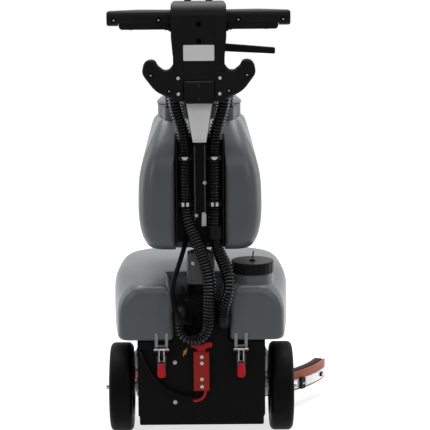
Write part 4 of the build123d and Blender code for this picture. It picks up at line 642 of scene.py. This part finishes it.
# grey coated shroud round the column's foot: a rounded rectangle carried up a profile of (share, height)
sleeveCoat = {"half": 0.0325, "y0": -0.0945, "y1": -0.0515, "corner": 0.0125, "cornerSteps": 8,
              "profile": [(0, 0.377), (0.96, 0.377), (1, 0.378), (1, 0.440), (0.985, 0.446), (0.94, 0.4498),
                          (0.86, 0.451), (0, 0.451)]}
middle = (sleeveCoat["y0"] + sleeveCoat["y1"]) / 2
reach = (sleeveCoat["y1"] - sleeveCoat["y0"]) / 2
loop = np.array(softBox(sleeveCoat["half"], reach, sleeveCoat["corner"], steps=sleeveCoat["cornerSteps"]))
rows = [np.column_stack((loop[:, 0] * share, loop[:, 1] * share + middle, np.full(len(loop), z)))
        for share, z in sleeveCoat["profile"]]
piece = skinOf("columnSleeve", [(np.array(rows), True)], greyCoat, "column")

# round beads along the column's rear edges; their grey, lighter than the black column, paints highlights
# along the tube's rounded corners
columnHighlightBead = {"x": 0.0118, "y": -0.085, "radius": 0.0016, "z0": 0.525, "z1": 0.700, "tip": 0.001, "steps": 12}
bead = rod(columnHighlightBead["radius"], 0, columnHighlightBead["z1"] - columnHighlightBead["z0"], columnHighlightBead["tip"])
beads = [turned(bead, (s * columnHighlightBead["x"], columnHighlightBead["y"], columnHighlightBead["z0"]), toTop, columnHighlightBead["steps"])
         for s in (-1, 1)]
piece = skinOf("columnHighlightBeads", beads, greyCoat, "column")

# solution tank's skin: a plan outline with the column's channel in its rear, carried up from floor to top;
# near the bottom and the top it draws in as a quarter ellipse, so every edge is rolled
tank = {"bottom": 0.250, "top": 0.389, "rear": -0.120, "front": 0.330, "halfRear": 0.191, "halfWide": 0.209,
        "wideY": 0.060, "channelHalf": 0.065, "channelBack": -0.030, "channelRound": 0.012,
        "lobeRound": 0.026, "rearFlat": 0.028, "cornerOut": 0.005, "sides": [(0.001, 0.130), (0.007, 0.225)],
        "frontCorner": (0.040, 0.038), "frontFlat": 0.105, "rollLow": 0.012, "rollHigh": 0.054,
        "rollRear": 0.026, "rollCorner": 0.078, "lowIn": 0.009, "sideIn": 0.031, "rearIn": 0.018,
        "cornerIn": 0.050, "channelIn": 0.024, "rearLow": 0.7, "channelLow": 0.5, "corner": 0.044,
        "cornerGrow": 0.034, "cornerFrom": 0.295, "cornerPower": 1.3, "fall": 0.012, "fallFrom": 0.320,
        "fallPower": 1.5, "shift": 0.002, "shiftHalf": 0.16, "shiftDeep": 0.03,
        "steps": 12, "startSteps": 4, "endSteps": 6, "lowLevels": 8, "wallLevels": 6, "highLevels": 16}


# right half of the outline, from the channel's back to the front: a smooth curve pulled by these points
def tankHalf(side, rear, channel, corner, rearSide):
    cx, cy = tank["channelHalf"] + channel, tank["channelBack"] + channel
    ry, fy = tank["rear"] + rear, tank["front"] - side
    hr, hw = tank["halfRear"] - rearSide, tank["halfWide"] - side
    bend, lobe = tank["channelRound"], tank["lobeRound"]
    frontX, frontY = tank["frontCorner"]
    cut = min(corner, hr - cx - tank["rearFlat"])
    pull = [(0, cy), (cx - bend, cy), (cx, cy), (cx, cy - bend), (cx, ry + lobe), (cx, ry), (cx + lobe, ry),
            (hr - cut, ry), (hr, ry), (hr + tank["cornerOut"], ry + corner), (hw, tank["wideY"])]
    pull += [(hw - x, y) for x, y in tank["sides"]]
    pull += [(hw - frontX, fy - frontY), (hw - tank["frontFlat"], fy), (0, fy)]
    pull = np.array(pull)
    mids = (pull[1:] + pull[:-1]) / 2
    t = np.linspace(0, 1, tank["steps"], endpoint=False)[None, :, None]
    arcs = (1 - t) ** 2 * mids[:-1, None] + 2 * t * (1 - t) * pull[1:-1, None] + t ** 2 * mids[1:, None]
    begin = np.linspace(pull[0], mids[0], tank["startSteps"], endpoint=False)
    return np.concatenate((begin, arcs.reshape(-1, 2), np.linspace(mids[-1], pull[-1], tank["endSteps"])))


# how far the tank's top roll draws in at each height: nought below the roll, one at the top
def rolledIn(heights, roll):
    return 1 - np.cos(np.arcsin(np.clip(1 - (tank["top"] - heights) / roll, 0, 1)))


# a height's share of the way from a level up to the tank's top
def shareAbove(heights, level):
    return np.clip((heights - level) / (tank["top"] - level), 0, 1)


turnLow = np.linspace(90, 0, tank["lowLevels"]) * math.pi / 180
turnHigh = np.linspace(0, 90, tank["highLevels"]) * math.pi / 180
wall = np.linspace(tank["bottom"] + tank["rollLow"], tank["top"] - tank["rollHigh"], tank["wallLevels"] + 2)
heights = np.concatenate((tank["bottom"] + tank["rollLow"] * (1 - np.sin(turnLow)), wall[1:-1],
                          tank["top"] - tank["rollHigh"] * (1 - np.sin(turnHigh))))
drawLow = np.concatenate((1 - np.cos(turnLow), np.zeros(tank["wallLevels"] + tank["highLevels"])))
drawHigh = np.concatenate((np.zeros(tank["lowLevels"] + tank["wallLevels"]), 1 - np.cos(turnHigh)))
sideIn = tank["lowIn"] * drawLow + tank["sideIn"] * drawHigh
rearIn = tank["lowIn"] * tank["rearLow"] * drawLow + tank["rearIn"] * rolledIn(heights, tank["rollRear"])
channelIn = tank["lowIn"] * tank["channelLow"] * drawLow + tank["channelIn"] * drawHigh
rearSides = tank["lowIn"] * drawLow + tank["cornerIn"] * rolledIn(heights, tank["rollCorner"])
grown = shareAbove(heights, tank["cornerFrom"]) ** tank["cornerPower"]
corners = tank["corner"] + tank["cornerGrow"] * grown
rings = []
for z, *drawn in zip(heights, sideIn, rearIn, channelIn, corners, rearSides):
    right = tankHalf(*drawn)
    loop = np.concatenate((right, right[-2:0:-1] * (-1, 1)))
    rings.append(np.column_stack((loop, np.full(len(loop), z))))
rings = np.array(rings)
# the top falls away towards the rear, and the channel stands a little to the right
rearward = np.clip(rings[..., 1] / tank["rear"], 0, 1) ** tank["fallPower"]
rings[..., 2] -= tank["fall"] * (rearward * shareAbove(rings[..., 2], tank["fallFrom"]))
central = np.clip(1 - (rings[..., 0] / tank["shiftHalf"]) ** 2, 0, 1)
inward = np.clip((tank["shiftDeep"] - rings[..., 1]) / tank["shiftDeep"], 0, 1)
rings[..., 0] += tank["shift"] * central * inward
levels, around = rings.shape[:2]
caps = [list(range(around))[::-1], list(range((levels - 1) * around, levels * around))]
piece = skinOf("tankSkin", [(rings, True)], tankGrey, "base", caps=caps)
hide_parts("solution_tank")

# filler neck: a turned collar, a little wider at its foot in the tank's top
fillerNeck = {"centre": (0.1207, -0.060, 0.375), "steps": 64,
              "profile": [(0, -0.008), (0.0505, -0.008), (0.0495, 0.0), (0.0486, 0.008), (0.0482, 0.0155),
                          (0.0480, 0.0215), (0.0474, 0.0238), (0.0462, 0.0248), (0.042, 0.025),
                          (0.042, 0.0425), (0.038, 0.0426), (0.038, 0.012), (0, 0.012)]}
grid = turned(fillerNeck["profile"], fillerNeck["centre"], toTop, fillerNeck["steps"])
piece = skinOf("fillerNeck", [grid], tankGrey, "base")

# lid of the recovery tank: an oval carried up a sloping profile of (share of the oval, height), hollow
# underneath, with its hinge lug and pin
lid = {"centre": (0, 0.065), "across": 0.100, "along": 0.072, "steps": 96,
       "profile": [(0, 0.797), (0.88, 0.797), (0.89, 0.784), (0.9, 0.783), (0.995, 0.783), (1, 0.7838),
                   (1, 0.7868), (0.985, 0.7895), (0.94, 0.7935), (0.86, 0.8005), (0.79, 0.806),
                   (0.72, 0.8102), (0.62, 0.813), (0.45, 0.8146), (0.2, 0.815), (0, 0.815)],
       "lug": [(0.129, 0.783), (0.143, 0.7835), (0.1475, 0.786), (0.148, 0.790), (0.1455, 0.793),
               (0.129, 0.7935)],
       "lugWide": 0.054, "hinge": (0.143, 0.788), "pinRadius": 0.0035, "pinLong": 0.0715}
turn = np.linspace(0, 2 * math.pi, lid["steps"], endpoint=False)
oval = np.column_stack((lid["across"] * np.cos(turn), lid["along"] * np.sin(turn)))
rows = [np.column_stack((oval * share + lid["centre"], np.full(len(oval), z))) for share, z in lid["profile"]]
lug = plate(lid["lug"], (-lid["lugWide"] / 2, 0, 0), lid["lugWide"], (0, 1, 0))
pin = turned(rod(lid["pinRadius"], 0, lid["pinLong"]), (-lid["pinLong"] / 2, *lid["hinge"]), toRight)
piece = skinOf("lidDome", [(np.array(rows), True), lug, pin], lidGrey, "recovery_lid")
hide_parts("recovery_lid")

# small tabs at the paddles' inner ends, beside the head
paddleTab = {"near": 0.0622, "far": 0.0668, "low": 0.9575, "high": 0.9765, "y": -0.0980, "thick": 0.0025}
for side, hand in ((-1, "left"), (1, "right")):
    x0, x1 = sorted((side * paddleTab["near"], side * paddleTab["far"]))
    outline = rectangle(x0, x1, paddleTab["low"], paddleTab["high"])
    grid = plate(outline, (0, paddleTab["y"], 0), paddleTab["thick"])
    piece = skinOf(hand + "PaddleTab", [grid], blackPlastic, hand + "_paddle")

# small steel tab with cut corners on the column, beside the right hose
columnTab = {"centre": (0.0085, -0.0848, 0.5285), "thick": 0.0018,
             "outline": [(-0.0058, -0.016), (0.0045, -0.016), (0.0058, -0.012), (0.0058, 0.011),
                         (0.0025, 0.016), (-0.004, 0.016)]}
grid = plate(columnTab["outline"], columnTab["centre"], columnTab["thick"])
piece = skinOf("columnTab", [grid], steel, "column")

# plain facing on the squeegee strap's right end: a thin rectangle carried round the strap's arc
facing = {"thick": 0.0008, "low": 0.0474, "high": 0.0696, "from": -56, "to": -31, "steps": 40}
inner = squeegeeArc["radius"]
outer = inner + facing["thick"]
bearing = np.radians(np.linspace(facing["from"], facing["to"], facing["steps"]))
section = np.array(rectangle(inner, outer, facing["low"], facing["high"]))
section = np.tile(section, (facing["steps"], 1, 1))
section[[0, -1]] = section[[1, -2]].mean(axis=1, keepdims=True)   # both ends close on their middle
bearing[[0, -1]] = bearing[[1, -2]]
arcX, arcY = squeegeeArc["centre"]
strip = np.stack((arcX + section[..., 0] * np.cos(bearing)[:, None],
                  arcY + section[..., 0] * np.sin(bearing)[:, None], section[..., 1]), axis=-1)
piece = skinOf("strapFacing", [(strip, True)], steel, "squeegee")

# cooling fins round the brush motor and bolts on its flange
motor = {"centre": (0, 0.337), "fins": 40, "thick": 0.0022, "inner": 0.0570, "outer": 0.0618, "low": 0.146,
         "high": 0.228, "slope": 0.003, "boltRing": 0.0640, "flange": 0.245, "boltAt": (40, 66, 114, 140),
         "boltRadius": 0.0042, "boltHeight": 0.003}
finOutline = [(motor["inner"], motor["low"]), (motor["outer"], motor["low"] + motor["slope"]),
              (motor["outer"], motor["high"] - motor["slope"]), (motor["inner"], motor["high"])]
fins = [plate(finOutline, (*motor["centre"], 0), motor["thick"], (math.cos(a), math.sin(a), 0))
        for a in np.linspace(0, 2 * math.pi, motor["fins"], endpoint=False)]
piece = skinOf("motorFins", fins, motorMetal, "base")
spots = [(motor["centre"][0] + motor["boltRing"] * math.cos(math.radians(a)),
          motor["centre"][1] + motor["boltRing"] * math.sin(math.radians(a)), motor["flange"])
         for a in motor["boltAt"]]
bolts = [screwHead(p, toTop, motor["boltRadius"], motor["boltHeight"]) for p in spots]
piece = skinOf("motorBolts", bolts, steel, "base")

# rubber band round the brush hood: a flat bead turned round the motor's axis
band = {"radius": 0.1818, "proud": 0.0022, "low": 0.044, "high": 0.062, "sunk": 0.001, "share": 0.6,
        "lip": 0.0006, "round": 0.003, "steps": 120}
root, crest = band["radius"] - band["sunk"], band["radius"] + band["proud"]
edge = band["radius"] + band["proud"] * band["share"]
bead = [(root, band["low"]), (edge, band["low"] + band["lip"]), (crest, band["low"] + band["round"]),
        (crest, band["high"] - band["round"]), (edge, band["high"] - band["lip"]), (root, band["high"])]
grid = turned(bead + bead[:1], (*motor["centre"], 0), toTop, band["steps"])
piece = skinOf("hoodBand", [grid], tyreRubber, "base")
print("plates, tag, clamps, stops, tank skin, lid and motor trim set")


# what camera rays see, plus what mirror and glass rays see: each light times its own kind of ray
def seenLight(tree, direct, mirrored):
    rays = addNode(tree, "ShaderNodeLightPath").outputs
    glint = addNode(tree, "ShaderNodeMath", operation="MAXIMUM")
    tree.links.new(rays["Is Glossy Ray"], glint.inputs[0])
    tree.links.new(rays["Is Transmission Ray"], glint.inputs[1])
    first = addNode(tree, "ShaderNodeMath", operation="MULTIPLY")
    tree.links.new(rays["Is Camera Ray"], first.inputs[0])
    if isinstance(direct, float):
        first.inputs[1].default_value = direct
    else:
        tree.links.new(direct, first.inputs[1])
    both = addNode(tree, "ShaderNodeMath", operation="MULTIPLY_ADD")
    tree.links.new(glint.outputs[0], both.inputs[0])
    tree.links.new(mirrored, both.inputs[1])
    tree.links.new(first.outputs[0], both.inputs[2])
    return both.outputs[0], rays


# pale floor: camera rays see it lifted towards white, more so away from the object, mirror rays see it bright
# beyond the object and dim on the camera's side, and its own light and shade stay underneath
floorLook = {"paint": (0.47, 0.47, 0.47), "rough": 0.7, "gloss": 0.1, "liftFrom": (0.45, 1.5),
             "lift": (0.72, 1.0), "mirrorFrom": (-0.4, 0.3), "mirror": (0.1, 1.0), "half": 9, "ahead": 14}
floorPaint, floorTree, floorSkin, floorPlace = newFinish("paleFloor", floorLook["paint"], floorLook["rough"],
                                                         specular=floorLook["gloss"])
distance = addNode(floorTree, "ShaderNodeVectorMath", operation="LENGTH")
floorTree.links.new(floorPlace, distance.inputs[0])
lift = ranged(floorTree, distance.outputs["Value"], *floorLook["liftFrom"], *floorLook["lift"])
axes = addNode(floorTree, "ShaderNodeSeparateXYZ")
floorTree.links.new(floorPlace, axes.inputs[0])
mirrored = ranged(floorTree, axes.outputs["Y"], *floorLook["mirrorFrom"], *floorLook["mirror"])
glow = seenLight(floorTree, lift, mirrored)[0]
floorSkin.inputs["Emission Color"].default_value = (1, 1, 1, 1)
floorTree.links.new(glow, floorSkin.inputs["Emission Strength"])
half, ahead = floorLook["half"], floorLook["ahead"]
ground = np.array([[(-half, -half, 0), (half, -half, 0)], [(-half, ahead, 0), (half, ahead, 0)]], float)
floor = skinOf("floor", [(ground, False)], floorPaint, None, smooth=False)
print("floor laid")


# a rectangular area lamp turned from its place towards the target
def softLamp(name, place, target, width, height, power):
    lamp = bpy.data.lights.new(name, "AREA")
    lamp.shape = "RECTANGLE"
    lamp.size, lamp.size_y = width, height
    lamp.energy = power
    holder = bpy.data.objects.new(name, lamp)
    bpy.context.scene.collection.objects.link(holder)
    holder.location = place
    away = np.array(target, float) - np.array(place, float)
    tilt = math.atan2(math.hypot(away[0], away[1]), -away[2])
    holder.rotation_euler = (tilt, 0, math.atan2(away[0], -away[1]) + math.pi)


lampTarget = (0, 0, 0.5)
lamps = {   # place, width, height, power
    "overheadLamp": ((0, 0.35, 2.6), 2.2, 1.8, 70),
    "leftLamp": ((-2.2, 0.5, 1.2), 1.0, 2.0, 14),
    "rightLamp": ((2.2, 0.5, 1.2), 1.0, 2.0, 14),
    "frontLamp": ((0.6, -3.2, 2.4), 1.6, 1.2, 10),
    "leftStrip": ((-1.7, -1.9, 1.3), 0.22, 1.3, 6.5),
    "rightStrip": ((1.7, -1.9, 1.5), 0.22, 1.3, 6.5),
}
for name, (place, width, height, power) in lamps.items():
    softLamp(name, place, lampTarget, width, height, power)

# the world is white to the camera; mirror rays see a white backdrop ahead and a dim room behind the camera,
# and diffuse rays see a faint even fill
studio = {"span": (-0.25, 0.45), "backdrop": (0.08, 1.0), "white": 1.0, "fill": 0.2}
world = bpy.data.worlds.new("studio")
bpy.context.scene.world = world
world.use_nodes = True
skyTree = world.node_tree
sky = skyTree.nodes["Background"]
sky.inputs["Color"].default_value = (1, 1, 1, 1)
heading = addNode(skyTree, "ShaderNodeSeparateXYZ")
skyTree.links.new(addNode(skyTree, "ShaderNodeTexCoord").outputs["Generated"], heading.inputs[0])
backdrop = ranged(skyTree, heading.outputs["Y"], *studio["span"], *studio["backdrop"])
glow, skyRays = seenLight(skyTree, studio["white"], backdrop)
room = addNode(skyTree, "ShaderNodeMath", {1: studio["fill"]}, operation="MULTIPLY_ADD")
skyTree.links.new(skyRays["Is Diffuse Ray"], room.inputs[0])
skyTree.links.new(glow, room.inputs[2])
skyTree.links.new(room.outputs[0], sky.inputs["Strength"])

view = {"lens": 119.2, "sensor": 36, "shift": 0.0346, "place": (0, -3.30, 1.115), "down": 10.17, "roll": -0.5}
camera = bpy.data.cameras.new("photoCamera")
camera.lens = view["lens"]
camera.sensor_width = view["sensor"]
camera.shift_x = view["shift"]
holder = bpy.data.objects.new("photoCamera", camera)
bpy.context.scene.collection.objects.link(holder)
holder.location = view["place"]
pitch = Matrix.Rotation(math.radians(90 - view["down"]), 3, "X")
roll = Matrix.Rotation(math.radians(view["roll"]), 3, "Z")
holder.rotation_euler = (pitch @ roll).to_euler()
bpy.context.scene.camera = holder
bpy.context.scene.view_settings.view_transform = "Standard"
print("lamps and camera placed")
